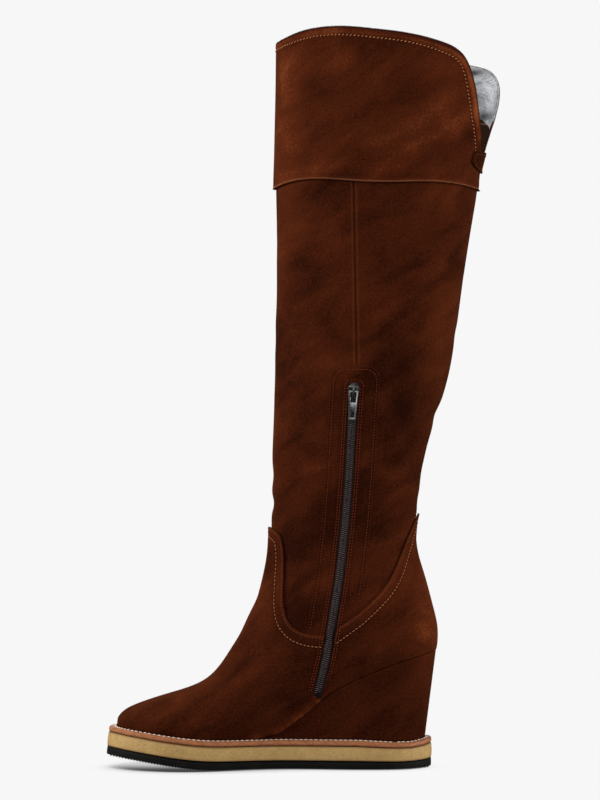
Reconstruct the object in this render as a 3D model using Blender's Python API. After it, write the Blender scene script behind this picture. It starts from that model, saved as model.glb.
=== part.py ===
"""A right over-the-knee boot: suede foot and shaft, turned cuff, covered wedge, crepe platform.

+Z is up, the toe points along -Y, and the inner side of the foot, which carries the zip, faces +X.
Tables and sizes are in millimetres, from the floor and from the back of the sole. The origin of the
finished part is on the floor, under the middle of its length.
"""

import math

import bmesh
import bpy
import numpy as np

MM = 0.001
MIDDLE = (0.0, -96.82, 0.0)

# Walls, and the play that pieces keep from each other
PLAY = 0.5
FOOT_WALL = 1.6
SHAFT_WALL = 1.8
CUFF_WALL = 1.7
GUSSET_WALL = 1.2
TAB_WALL = 1.3

# Platform, from the floor up
OUTSOLE = 6.4
MIDSOLE = 10.6
WELT = 4.1
LAYER_PLAY = 0.3
WELT_RING = 13.0
INSOLE = 2.5
WEDGE_FRONT = -121.0
WEDGE_BACK = -5.2
WEDGE_MARGIN = 5.2
WEDGE_PLAY = 0.6

# Zip
SLOT_HALF = 3.75
CHAIN_HALF = 3.35
TAPE_HALF = 7.5
TAPE = 1.0
SLOT_TOP = 289.0
SLOT_BOTTOM = 54.2
SLIDER_HEIGHT = 280.3
PULL_LENGTH = 21.0

# Turned cuff and the notch behind the knee
SHAFT_TOP = 443.5
NOTCH_BASE = 446.0
GUSSET_TOP = 479.5


def table(names, *rows):
    """Columns by name."""
    return dict(zip(names.split(), np.array(rows, float).T))


# Outline of the sole, seen from above: distance from the middle line to each side
SOLE = table(
    "y inner outer",
    (-243.5, 5, -5),
    (-240, 15, 9),
    (-232, 27, 20),
    (-220, 36.5, 30),
    (-205, 43, 39.5),
    (-190, 45.5, 46),
    (-175, 44.5, 49),
    (-160, 40, 47),
    (-140, 33, 43),
    (-120, 29, 39),
    (-100, 29, 36),
    (-75, 32, 34),
    (-45, 33.5, 33),
    (-25, 31, 31),
    (-10, 22, 22),
    (-3, 12.8, 12.8),
    (0, 0, 0),
)

# Bottom edge of the last, where the foot part ends
FEATHER = table(
    "y inner outer",
    (-234.6, 4.5, -4.5),
    (-231, 16.6, 8.2),
    (-225, 24.8, 17.2),
    (-215, 31.4, 25.6),
    (-200, 36.6, 34.2),
    (-185, 37.8, 39.8),
    (-170, 35.9, 40.9),
    (-150, 29.2, 37.2),
    (-130, 23.8, 33.2),
    (-110, 23, 31),
    (-90, 25.3, 30),
    (-65, 28.8, 30.3),
    (-40, 30.3, 30.3),
    (-20, 27.6, 27.6),
    (-8, 20.6, 20.6),
    (-2, 12, 12),
    (1, 0, 0),
)

# Toe spring, and the rise of the heel seat above the platform
SPRING = table("y z", (-243.5, 10.6), (-234, 9.5), (-219, 7.6), (-196, 4.1), (-174, 1), (-160, 0))
RISE = table(
    "y z",
    (-133, 0),
    (-124, 1.2),
    (-115, 5),
    (-105, 11.8),
    (-96, 18.8),
    (-85, 28.2),
    (-68, 39.6),
    (-45, 50.3),
    (-22, 59),
    (2, 66.2),
)

# The foot's sections, toe to ankle: each runs from the ridge in front to the feather edge below
FOOT = table(
    "front_y front_z base_y inner outer ridge front_power back_power",
    (-233.6, 36.2, -234, 6.3, 6.3, 4.5, 0.9, 0.9),
    (-231.2, 39.4, -231.5, 12.8, 12.8, 4.5, 0.9, 0.9),
    (-226.5, 42.6, -226, 21, 21, 4.5, 0.9, 0.9),
    (-219, 45.6, -217.5, 28.2, 28.2, 4.5, 0.92, 0.9),
    (-205.7, 50.1, -203, 36, 36, 4.4, 0.95, 0.9),
    (-190, 54.6, -186, 40.2, 40.5, 4.2, 1, 0.9),
    (-177, 59, -171, 40.3, 41, 4, 1.05, 0.88),
    (-167.5, 64.2, -157, 38.5, 40, 3.5, 1.1, 0.86),
    (-160.5, 70.8, -144, 36.5, 38.5, 3, 1.12, 0.84),
    (-154.6, 78.6, -130, 35, 37, 2.4, 1.12, 0.8),
    (-148.3, 88.7, -114, 34, 36, 1.8, 1.12, 0.78),
    (-141.9, 99, -98, 33.5, 35.5, 1.2, 1.1, 0.75),
    (-136.2, 111.2, -80, 34, 35.5, 0.6, 1.08, 0.72),
    (-130.2, 123.2, -60, 34.8, 35.8, 0.2, 1.05, 0.68),
    (-125.9, 136, -40, 35.5, 36.2, 0, 1, 0.65),
    (-123.5, 148, -22, 36, 36.5, 0, 1, 0.62),
    (-122.1, 157, -9, 36.4, 36.8, 0, 1, 0.6),
    (-121.6, 163, -2.2, 36.5, 36.8, 0, 1, 0.6),
    (-121.4, 168, 1, 36.5, 36.8, 0, 1, 0.6),
)

# The leg's sections, heel to knee: each closes round the back line
LEG = table(
    "front_y front_z back_y back_z inner outer back_power",
    (-121.3, 173, 2.2, 96.5, 36.3, 36.5, 0.62),
    (-121.2, 180, 1.6, 107.5, 36, 36.2, 0.68),
    (-121, 188, -1.8, 121.5, 35.7, 35.8, 0.78),
    (-120.6, 199, -7.6, 143, 35.3, 35.3, 0.9),
    (-120.2, 212, -13.8, 168, 35.3, 35.3, 1),
    (-119.9, 227, -11.4, 195, 36.5, 36.5, 1),
    (-119.3, 243, -7.4, 227, 39, 39, 1),
    (-118.3, 266, 0.7, 259, 41.8, 41.8, 1),
    (-117.3, 293, 10, 290, 44.3, 44.3, 1),
    (-116.3, 330, 17.4, 330, 46.6, 46.6, 1),
    (-116.3, 370, 23.3, 370, 48, 48, 1),
    (-117, 406, 28.4, 406, 48.6, 48.6, 1),
    (-117.8, 432, 33, 432, 49.2, 49.2, 1),
    (-117.2, 450, 36.2, 450, 49.6, 49.6, 1),
    (-116.8, 470, 41.4, 470, 50.2, 50.2, 1),
    (-116.3, 493, 47.2, 493, 51, 51, 1),
    (-115.8, 518, 49.5, 518, 51.7, 51.7, 1),
    (-115, 556, 50.7, 556, 52.4, 52.4, 1),
)

# Edges as the eye sees them from the side, from the front of the leg to the back
FOOT_EDGE = table(
    "y z",
    (-112.2, 172),
    (-110.4, 158),
    (-110.9, 140),
    (-111.4, 124.5),
    (-110.2, 114.9),
    (-106.2, 107),
    (-98.6, 101.8),
    (-90.9, 100.1),
    (-81.6, 99.9),
    (-72, 104.9),
    (-56.8, 114.9),
    (-45.4, 125.3),
    (-33.9, 138.6),
    (-25, 158.2),
    (-18.9, 174.6),
)
FOOT_EDGE_FRONT = 179.0
FOOT_EDGE_BACK = 190.0

SHAFT_EDGE = table(
    "y z",
    (-120.2, 160),
    (-119.6, 148),
    (-120.5, 132),
    (-118.6, 117),
    (-113, 103),
    (-103, 94),
    (-92, 90),
    (-82, 89),
    (-68, 92),
    (-54, 101),
    (-40, 113),
    (-29, 128),
    (-21, 147),
    (-17.5, 163),
)
SHAFT_EDGE_FRONT = 167.0
SHAFT_EDGE_BACK = 178.0

CUFF_EDGE = table(
    "y z",
    (-105, 435.5),
    (-81, 436.6),
    (-56, 434.5),
    (-34, 433.8),
    (-6, 434.8),
    (18, 433.4),
)
CUFF_EDGE_FRONT = 431.5
CUFF_EDGE_BACK = 431.0

# Top edge of the cuff down to the corner at the notch, on the inner and the outer side
INNER_TOP = table(
    "y z",
    (-104.9, 544.3),
    (-93, 547.2),
    (-77.7, 548.6),
    (-63, 548.2),
    (-44, 546),
    (-23, 543.4),
    (-5.8, 539.7),
    (6, 536),
    (15.5, 532.2),
    (22, 527),
    (26.2, 519),
)
OUTER_TOP = table(
    "y z",
    (-104.9, 544.3),
    (-93, 547.2),
    (-77.7, 548.6),
    (-63, 548.2),
    (-44, 546),
    (-23, 543),
    (-5, 538.6),
    (12, 533.6),
    (26, 529.6),
    (37, 526.2),
    (44.5, 521),
    (47.8, 512),
)
TOP_FRONT = 541.0
INNER_NOTCH = table("z y", (446, 33.9), (459, 34.6), (477.6, 33.9), (491.7, 32.3), (507, 29.6), (519, 26.2))
OUTER_NOTCH = table("z y", (446, 34.6), (462, 38.7), (478, 43), (493, 46.5), (505, 48), (512, 47.8))

# Middle line of the zip
ZIP = table(
    "z y",
    (48, -88.6),
    (52.7, -87.2),
    (84.8, -79.4),
    (112.9, -74.8),
    (141.4, -70.2),
    (181, -65.8),
    (215, -63.1),
    (258.5, -60.7),
    (290, -58.9),
    (320, -58.2),
)

# ---------------------------------------------------------------- curves through table rows


def cubic(xs, ys, slopes, x):
    """Cubic pieces through (xs, ys) with the given slopes."""
    x = np.clip(np.asarray(x, float), xs[0], xs[-1])
    i = np.clip(np.searchsorted(xs, x, side="right") - 1, 0, len(xs) - 2)
    width = xs[i + 1] - xs[i]
    t = (x - xs[i]) / width
    start = (1 + 2 * t) * (1 - t) ** 2 * ys[i] + t * (1 - t) ** 2 * width * slopes[i]
    end = t * t * (3 - 2 * t) * ys[i + 1] - t * t * (1 - t) * width * slopes[i + 1]
    return start + end


def even_curve(xs, ys):
    """A curve that never swings past its rows, for edges with straight runs."""
    xs = np.asarray(xs, float)
    ys = np.asarray(ys, float)
    width = np.diff(xs)
    rise = np.diff(ys) / width
    slopes = np.zeros(len(xs))
    for k in range(1, len(xs) - 1):
        if rise[k - 1] * rise[k] > 0:
            before = 2 * width[k] + width[k - 1]
            after = width[k] + 2 * width[k - 1]
            slopes[k] = (before + after) / (before / rise[k - 1] + after / rise[k])
    slopes[0] = rise[0]
    slopes[-1] = rise[-1]
    return lambda x: cubic(xs, ys, slopes, x)


def fair_curve(xs, ys):
    """The natural cubic spline, for round forms."""
    xs = np.asarray(xs, float)
    ys = np.asarray(ys, float)
    count = len(xs)
    width = np.diff(xs)
    rise = np.diff(ys) / width
    matrix = np.zeros((count, count))
    right = np.zeros(count)
    matrix[0, :2] = (2, 1)
    matrix[-1, -2:] = (1, 2)
    right[0] = 3 * rise[0]
    right[-1] = 3 * rise[-1]
    for k in range(1, count - 1):
        matrix[k, k - 1 : k + 2] = (1 / width[k - 1], 2 / width[k - 1] + 2 / width[k], 1 / width[k])
        right[k] = 3 * (rise[k - 1] / width[k - 1] + rise[k] / width[k])
    slopes = np.linalg.solve(matrix, right)
    return lambda x: cubic(xs, ys, slopes, x)


def outline(rows):
    """Half-widths of a closed outline with round ends, as a function of y for each side."""
    first, last = rows["y"][0], rows["y"][-1]

    def turn(y):
        return np.arccos(np.clip(1 - 2 * (np.asarray(y, float) - first) / (last - first), -1, 1))

    inner = fair_curve(turn(rows["y"]), rows["inner"])
    outer = fair_curve(turn(rows["y"]), rows["outer"])
    return lambda y: (inner(turn(y)), outer(turn(y)))


sole_sides = outline(SOLE)
feather_sides = outline(FEATHER)
spring_curve = even_curve(SPRING["y"], SPRING["z"])
rise_curve = even_curve(RISE["y"], RISE["z"])
zip_curve = fair_curve(ZIP["z"], ZIP["y"])

PLATFORM = OUTSOLE + MIDSOLE + WELT + 2 * LAYER_PLAY


def seat(y):
    """Height of the foot part's bottom edge and of the insole's underside."""
    return PLATFORM + LAYER_PLAY + spring_curve(y) + rise_curve(y)


# ---------------------------------------------------------------- the last and the leg

CLOSING = len(FOOT["front_y"]) - 1
LEAST_DROP = 0.22
TOP_SECTION = CLOSING + len(LEG["front_y"])


def section_curves():
    """One curve per column over the section number, foot rows first."""
    leg_rows = len(LEG["front_y"])
    zeros = np.zeros(leg_rows)
    columns = {
        "front_y": np.append(FOOT["front_y"], LEG["front_y"]),
        "front_z": np.append(FOOT["front_z"], LEG["front_z"]),
        "back_y": np.append(FOOT["base_y"], LEG["back_y"]),
        "back_z": np.append(seat(FOOT["base_y"]), LEG["back_z"]),
        "inner": np.append(FOOT["inner"], LEG["inner"]),
        "outer": np.append(FOOT["outer"], LEG["outer"]),
        "ridge": np.append(FOOT["ridge"], zeros),
        "front_power": np.append(FOOT["front_power"], zeros + 1),
        "back_power": np.append(FOOT["back_power"], LEG["back_power"]),
    }
    numbers = np.arange(TOP_SECTION + 1)
    return {name: fair_curve(numbers, values) for name, values in columns.items()}


CURVES = section_curves()


def section(s):
    """Every column of the section numbered s, with where its sides stop at the feather edge."""
    values = {name: curve(s) for name, curve in CURVES.items()}
    inner, outer = feather_sides(values["back_y"])
    is_open = s < CLOSING
    values["feather"] = np.where(is_open, np.maximum((inner + outer) / 2, 0), 0)
    values["middle"] = np.where(is_open, (inner - outer) / 2, 0)
    return values


def end_angle(values, half):
    """Angle at which a section reaches the feather edge: half a turn where it closes."""
    share = np.clip(values["feather"] / half, 0, 1) ** (1 / values["back_power"])
    return math.pi - np.arcsin(share)


def skin(s, u):
    """Point of the leg at section s; u is 0 on the ridge, 1 and -1 at the feather or the back."""
    s = np.clip(np.asarray(s, float), 0, TOP_SECTION)
    u = np.asarray(u, float)
    values = section(s)
    half = np.where(u >= 0, values["inner"], values["outer"])
    last_angle = end_angle(values, half)
    angle = np.abs(u) * last_angle
    share = (1 - np.cos(angle)) / (1 - np.cos(last_angle))
    power = np.where(angle < math.pi / 2, values["front_power"], values["back_power"])
    width = half * np.clip(np.sin(angle), 0, 1) ** power
    x = values["ridge"] * (1 - share) + values["middle"] * share + np.sign(u) * width
    y = values["front_y"] + share * (values["back_y"] - values["front_y"])
    z = values["front_z"] + share * (values["back_z"] - values["front_z"])
    at_feather = (np.abs(u) > 1 - 1e-9) & (s < CLOSING)
    return np.stack([x, y, np.where(at_feather, seat(y), z)], axis=-1)


def normal(s, u):
    """Outward direction of the leg at (s, u), level where the foot part meets the sole, never far below."""
    s = np.asarray(s, float)
    u = np.asarray(u, float)
    step = 1e-3
    along = skin(np.minimum(s + step, TOP_SECTION), u) - skin(np.maximum(s - step, 0), u)
    side = np.where(u >= 0, 1.0, -1.0)
    near = np.where(np.abs(u) > 0.999, u - side * step, u - step)
    far = np.where(np.abs(u) > 0.999, u, u + step)
    across = (skin(s, far) - skin(s, near)) * np.where(np.abs(u) > 0.999, side, 1.0)[..., None]
    out = np.cross(across, along)
    level = (np.abs(u) > 1 - 1e-9) & (s < CLOSING + 1e-9)
    plan = np.stack([along[..., 1], -along[..., 0], 0 * along[..., 0]], axis=-1) * side[..., None]
    out = np.where(level[..., None], plan, out)
    on_seam = ((np.abs(u) > 1 - 1e-9) & (s >= CLOSING)) | (np.abs(u) < 1e-9)
    out[..., 0] = np.where(on_seam, 0, out[..., 0])
    flat = np.linalg.norm(out[..., :2], axis=-1)
    out[..., 2] = np.maximum(out[..., 2], -LEAST_DROP * flat)
    return out / np.linalg.norm(out, axis=-1, keepdims=True)


def offset_skin(s, u, height):
    """Point at the given height above the leg."""
    return skin(s, u) + normal(s, u) * np.asarray(height, float)[..., None]


FAN_NUMBERS = np.linspace(0, TOP_SECTION, 3601)
FAN = {name: curve(FAN_NUMBERS) for name, curve in CURVES.items()}


def place(y, z):
    """(s, u) of the point of the inner side seen at (y, z)."""
    run_y, run_z = FAN["back_y"] - FAN["front_y"], FAN["back_z"] - FAN["front_z"]
    side = run_y * (z - FAN["front_z"]) - run_z * (y - FAN["front_y"])
    share = (run_y * (y - FAN["front_y"]) + run_z * (z - FAN["front_z"])) / (run_y**2 + run_z**2)
    crossing = (side[:-1] * side[1:] <= 0) & (share[:-1] > -0.05) & (share[:-1] < 1.05)
    k = np.nonzero(crossing)[0][0]
    t = side[k] / (side[k] - side[k + 1])
    s = FAN_NUMBERS[k] + t * (FAN_NUMBERS[k + 1] - FAN_NUMBERS[k])
    values = section(s)
    last_angle = end_angle(values, values["inner"])
    across = np.clip(share[k] + t * (share[k + 1] - share[k]), 0, 1)
    angle = math.acos(np.clip(1 - across * (1 - math.cos(last_angle)), -1, 1))
    return np.array([s, angle / last_angle])


def section_at(column, height):
    """Number of the section whose front or back line stands at this height."""
    start = 0 if column == "front_z" else CLOSING * 100
    return np.interp(height, FAN[column][start:], FAN_NUMBERS[start:])


def number_at_base(y):
    """Number of the section that meets the feather edge at y."""
    return np.interp(y, FAN["back_y"][: CLOSING * 100], FAN_NUMBERS[: CLOSING * 100])


def level_ends(z):
    """y of the front and of the back line at a height."""
    front = np.interp(z, FAN["front_z"], FAN["front_y"])
    back = np.interp(z, FAN["back_z"][CLOSING * 100 :], FAN["back_y"][CLOSING * 100 :])
    return front, back


def to_level(y, z):
    """(turn, z), where the turn runs from 0 at the front to 1 at the back of a level section."""
    front, back = level_ends(z)
    return np.stack([np.arccos(np.clip(1 - 2 * (y - front) / (back - front), -1, 1)) / math.pi, z], axis=-1)


def from_level(turn, z):
    """(s, u) of a point given by its turn and height."""
    if turn < 1e-6:
        return np.array([section_at("front_z", z), 0.0])
    if turn > 1 - 1e-6:
        return np.array([section_at("back_z", z), 1.0])
    front, back = level_ends(z)
    return place(front + (back - front) * (1 - math.cos(math.pi * turn)) / 2, z)


def edge_path(rows, front, back):
    """Dense (s, u) path that the side view shows through the rows, from the ridge to the back."""
    ys = np.append(level_ends(front)[0], rows["y"])
    zs = np.append(front, rows["z"])
    if back is not None:
        ys = np.append(ys, level_ends(back)[1])
        zs = np.append(zs, back)
    knots = np.append(0, np.cumsum(np.hypot(np.diff(ys), np.diff(zs))))
    fine = np.linspace(0, knots[-1], 700)
    seen = np.column_stack([fair_curve(knots, ys)(fine), fair_curve(knots, zs)(fine)])
    path = [place(y, z) for y, z in seen[1:-1]]
    path.insert(0, (section_at("front_z", front), 0.0))
    path.append(place(*seen[-1]) if back is None else (section_at("back_z", back), 1.0))
    return resample(np.array(path), np.linspace(0, 1, 1600))


def resample(points, stops):
    """Points of a path in (s, u) at the given shares of its length on the surface."""
    spots = skin(points[:, 0], points[:, 1])
    length = np.append(0, np.cumsum(np.linalg.norm(np.diff(spots, axis=0), axis=1)))
    wanted = np.asarray(stops) * length[-1]
    return np.stack([np.interp(wanted, length, points[:, k]) for k in (0, 1)], axis=-1)


def part_of(path, start, end, stops):
    """Points of a dense path between two of its indices."""
    return resample(path[start : end + 1], stops)


def nearest(path, y, z):
    """Index of the path's point that is seen nearest to (y, z)."""
    spots = skin(path[:, 0], path[:, 1])
    return int(np.argmin((spots[:, 1] - y) ** 2 + (spots[:, 2] - z) ** 2))


def beside_zip(z, away):
    """(y, z) at a distance from the zip's middle line, towards the heel where it is positive."""
    slope = (zip_curve(z + 1) - zip_curve(z - 1)) / 2
    scale = away / math.hypot(1, slope)
    return zip_curve(z) + scale, z - slope * scale


def zip_line(away, heights):
    """(s, u) along a line beside the zip."""
    return np.array([place(*beside_zip(z, away)) for z in heights])


def row_shares(rows):
    """Row positions from the bottom (0) to the top (1), closer together at the top."""
    return 1 - (1 - np.linspace(0, 1, rows + 1)) ** 1.2


def panel(bottom, top, shares, guides):
    """Grid between two borders; a guide holds a whole column, or None where it stays put."""
    grid = bottom + (top - bottom) * shares[:, None, None]
    keys = sorted(guides)
    shifts = [0 * grid[:, k] if guides[k] is None else guides[k] - grid[:, k] for k in keys]
    shifts = np.stack(shifts, axis=1)
    columns = np.arange(len(bottom))
    for row in range(len(shares)):
        for axis in (0, 1):
            grid[row, :, axis] += np.interp(columns, keys, shifts[row, :, axis])
    return grid


# ---------------------------------------------------------------- meshes


def material(name, colour, roughness, metallic=0.0):
    made = bpy.data.materials.new(name)
    made.use_nodes = True
    shader = made.node_tree.nodes["Principled BSDF"]
    shader.inputs["Base Color"].default_value = (*colour, 1)
    shader.inputs["Roughness"].default_value = roughness
    shader.inputs["Metallic"].default_value = metallic
    return made


def add_mesh(name, points, faces, look, smooth=True, origin=MIDDLE):
    """A closed mesh from points in millimetres, with its object origin where asked."""
    mesh = bpy.data.meshes.new(name)
    work = bmesh.new()
    home = np.asarray(origin, float)
    verts = [work.verts.new((np.asarray(point) - home) * MM) for point in points]
    for face in faces:
        if len(set(face)) >= 3:
            work.faces.new([verts[k] for k in dict.fromkeys(face)])
    bmesh.ops.recalc_face_normals(work, faces=work.faces)
    if work.calc_volume(signed=True) < 0:
        bmesh.ops.reverse_faces(work, faces=work.faces)
    work.to_mesh(mesh)
    work.free()
    mesh.materials.append(look)
    if smooth:
        mesh.shade_smooth()
        mesh.set_sharp_from_angle(angle=math.radians(40))
    made = bpy.data.objects.new(name, mesh)
    made.location = (home - MIDDLE) * MM
    bpy.context.scene.collection.objects.link(made)
    return made


def grid_quads(rows, columns, first, keep):
    """Quads of one grid of points numbered from first, row by row."""
    quads = []
    for row in range(rows):
        for column in range(columns):
            if keep(row, column):
                corner = first + row * (columns + 1) + column
                quads.append((corner, corner + 1, corner + columns + 2, corner + columns + 1))
    return quads


def shell(name, params, quads, outside, inside, look):
    """A wall between two heights above the leg, welded where its points meet."""
    outer = offset_skin(params[:, 0], params[:, 1], outside)
    inner = offset_skin(params[:, 0], params[:, 1], inside)
    keys = {}
    index = np.array([keys.setdefault(tuple(np.round(point, 3)), len(keys)) for point in outer])
    first = np.array([int(np.argmax(index == k)) for k in range(len(keys))])
    count = len(first)
    quads = [shorter_split(tuple(int(index[k]) for k in quad), outer[first]) for quad in quads]
    sides = {}
    for quad in quads:
        for a, b in zip(quad, quad[1:] + quad[:1]):
            if a != b:
                sides.setdefault(frozenset((a, b)), []).append((a, b))
    faces = list(quads)
    faces += [(a + count, d + count, c + count, b + count) for a, b, c, d in quads]
    faces += [(b, a, a + count, b + count) for [(a, b), *more] in sides.values() if not more]
    points, faces = used_only(np.concatenate([outer[first], inner[first]]), faces)
    return add_mesh(name, points, faces, look)


def shorter_split(quad, points):
    """The quad turned so that it folds along its shorter diagonal, from its first to its third corner."""
    a, b, c, d = (points[k] for k in quad)
    return quad if np.sum((c - a) ** 2) <= np.sum((d - b) ** 2) else quad[1:] + quad[:1]


def used_only(points, faces):
    """The points that faces use, renumbered."""
    used = sorted({k for face in faces for k in face})
    numbers = {old: new for new, old in enumerate(used)}
    return points[used], [tuple(numbers[k] for k in face) for face in faces]


def both_sides(grid, keep_inner, keep_outer=None, outer_grid=None):
    """Parameters and quads of a panel and of its mirror image on the other side."""
    rows, columns = grid.shape[0] - 1, grid.shape[1] - 1
    mirrored = (grid if outer_grid is None else outer_grid) * (1, -1)
    inner = grid.reshape(-1, 2)
    outer = mirrored.reshape(-1, 2)
    quads = grid_quads(rows, columns, 0, keep_inner)
    others = grid_quads(rows, mirrored.shape[1] - 1, len(inner), keep_outer or (lambda row, column: True))
    return np.concatenate([inner, outer]), quads + [quad[::-1] for quad in others]


def layers(name, rings, look, ring_holes=None):
    """A solid from stacked rings of equal count; ends are closed, or joined to the hole's rings."""
    stack = list(rings) + list(reversed(ring_holes or []))
    count = len(stack[0])
    points = np.concatenate(stack)
    faces = []
    pairs = [(k, k + 1) for k in range(len(stack) - 1)]
    if ring_holes:
        pairs.append((len(stack) - 1, 0))
    for low, high in pairs:
        for k in range(count):
            after = (k + 1) % count
            faces.append((low * count + k, low * count + after, high * count + after, high * count + k))
    if not ring_holes:
        faces += strip_cap(0, count) + strip_cap((len(stack) - 1) * count, count)
    return add_mesh(name, points, faces, look)


def strip_cap(first, count):
    """Closes a ring that starts at the toe with strips from side to side."""
    strips = []
    last = count - count % 2
    for k in range(count // 2):
        corners = (k, k + 1, last - k - 1, (last - k) % count)
        strips.append(tuple(first + corner for corner in corners))
    return strips


# ---------------------------------------------------------------- platform

OUTLINE_STEPS = 24
VAMP_ROWS = 12
VAMP_COLUMNS = 9
TONGUE_ROWS = 5
FRONT_COLUMNS = 5
HEEL_COLUMNS = 14
FOOT_ROWS = 11
WAIST = -116.0
TONGUE_FOOT = (-109.6, 113.0)


def loop_ys(start, end):
    """Spacing that is close at both round ends."""
    return start + (end - start) * (1 - np.cos(np.linspace(0, math.pi, OUTLINE_STEPS + 1))) / 2


def sole_ring(inset, height):
    """The sole's outline, moved in towards its spine, at a height that follows the toe spring."""
    ys = loop_ys(SOLE["y"][0], SOLE["y"][-1])
    inner, outer = sole_sides(ys)
    ring = np.concatenate(
        [np.stack([inner, ys], axis=-1), np.stack([-outer, ys], axis=-1)[-2:0:-1]],
    )
    spine_y = np.clip(ring[:, 1], -214, -28)
    sides = sole_sides(spine_y)
    spine = np.stack([(sides[0] - sides[1]) / 2, spine_y], axis=-1)
    inwards = spine - ring
    inwards /= np.linalg.norm(inwards, axis=1, keepdims=True)
    ring = ring + inwards * inset
    return np.column_stack([ring, spring_curve(ring[:, 1]) + height])


def sole(looks):
    """Tread, crepe platform with the filler inside the welt, and the welt itself."""
    layers(
        "outsole",
        [sole_ring(1.2, 0), sole_ring(0.5, 0.7), sole_ring(0.3, 3), sole_ring(0.5, OUTSOLE)],
        looks["rubber"],
    )
    low = OUTSOLE + LAYER_PLAY
    high = low + MIDSOLE
    filler = high + LAYER_PLAY + WELT - 0.3
    layers(
        "midsole",
        [
            sole_ring(0.6, low),
            sole_ring(0.1, low + 0.8),
            sole_ring(-0.1, low + MIDSOLE / 2),
            sole_ring(0.1, high - 0.8),
            sole_ring(0.6, high),
            sole_ring(WELT_RING + 0.5, high),
            sole_ring(WELT_RING + 0.5, filler),
        ],
        looks["crepe"],
    )
    base = high + LAYER_PLAY
    outside = [
        sole_ring(0.9, base),
        sole_ring(0.1, base + 1.2),
        sole_ring(0.3, base + WELT - 0.8),
        sole_ring(1.2, base + WELT),
    ]
    layers("welt", outside, looks["welt"], [sole_ring(WELT_RING, base), sole_ring(WELT_RING, base + WELT)])


def blunt_loop(inner, outer):
    """One closed ring from two sides that run to a common point at the heel, straight across in front."""
    return np.concatenate([inner, outer[-2::-1]])


def toe_stops():
    """Section numbers of the foot part's rows along the feather edge, from the toe to the waist."""
    return np.linspace(0, 1, VAMP_ROWS + 1) ** 1.15 * number_at_base(WAIST)


def heel_stops():
    """Section numbers of its columns along the feather edge, from the waist to the back of the heel."""
    slot = [number_at_base(zip_curve(48) + away) for away in (-SLOT_HALF, SLOT_HALF)]
    front = np.linspace(number_at_base(WAIST), slot[0], FRONT_COLUMNS + 1)
    towards_heel = 1 - np.linspace(1, 0, HEEL_COLUMNS + 1) ** 1.35
    return np.append(front, slot[1] + (CLOSING - slot[1]) * towards_heel)


def feather_ring(away, lift, numbers):
    """The last's bottom edge moved outwards, on the seat's height."""
    sides = []
    for side in (1.0, -1.0):
        spots = skin(numbers, np.full_like(numbers, side))
        out = normal(numbers, np.full_like(numbers, side))
        out[-1] = (0, 1, 0)
        spots = spots + out * away
        spots[:, 2] = seat(skin(numbers, np.full_like(numbers, side))[:, 1]) + lift
        sides.append(spots)
    return blunt_loop(*sides)


def insole(looks):
    low = 0.4
    numbers = np.append(toe_stops()[1:-1], heel_stops())
    rings = [feather_ring(-1.0, low, numbers), feather_ring(-2.2, low + INSOLE, numbers)]
    layers("insole", rings, looks["insole"])


def wedge(looks):
    """Covered wedge, from the welt up to the heel seat."""
    top = feather_ring(PLAY + FOOT_WALL, -WEDGE_PLAY, np.append(number_at_base(WEDGE_FRONT), heel_stops()))
    half = len(top) // 2 + 1
    reach = (top[:half, 1] - top[0, 1]) / (top[half - 1, 1] - top[0, 1])
    ys = WEDGE_FRONT + (WEDGE_BACK - WEDGE_FRONT) * reach
    inner, outer = sole_sides(ys)
    narrow = np.sqrt(np.clip((WEDGE_BACK - ys) / (WEDGE_MARGIN + (WEDGE_BACK - ys)), 0, 1))
    inner = (inner - WEDGE_MARGIN) * narrow
    outer = (outer - WEDGE_MARGIN) * narrow
    floor = np.full(half, PLATFORM + LAYER_PLAY)
    base = blunt_loop(
        np.column_stack([inner, ys, floor]),
        np.column_stack([-outer, ys, floor]),
    )
    rings = []
    for share in (0, 0.25, 0.5, 0.75, 1):
        waist = 1.2 * math.sin(math.pi * share)
        ring = base * (1 - share) + top * share
        ring[:, 0] *= 1 - waist / 30
        rings.append(ring)
    layers("wedge", rings, looks["suede"])


# ---------------------------------------------------------------- foot, shaft and cuff

def vamp_block(edge, corner, split):
    """(s, u) rows from the toe to the top of the tongue, each from the ridge to its outer border."""
    feather = toe_stops()
    tongue_top = nearest(edge, FOOT_EDGE["y"][0], FOOT_EDGE["z"][0])
    side = part_of(edge, tongue_top, corner, np.linspace(0, 1, TONGUE_ROWS + 1))[::-1]
    rim = np.concatenate([np.column_stack([feather, 0 * feather + 1])[:-1], split[:-1], side])
    ridge = rim[:, 0].copy()
    ridge[-TONGUE_ROWS - 1 :] = np.linspace(ridge[-TONGUE_ROWS - 1], edge[0, 0], TONGUE_ROWS + 1)
    share = np.linspace(0, 1, VAMP_COLUMNS + 1)
    block = np.empty((len(rim), VAMP_COLUMNS + 1, 2))
    block[..., 0] = ridge[:, None] + (rim[:, 0] - ridge)[:, None] * share
    block[..., 1] = rim[:, 1][:, None] * share
    block[-1] = part_of(edge, 0, tongue_top, share)
    return block


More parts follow.
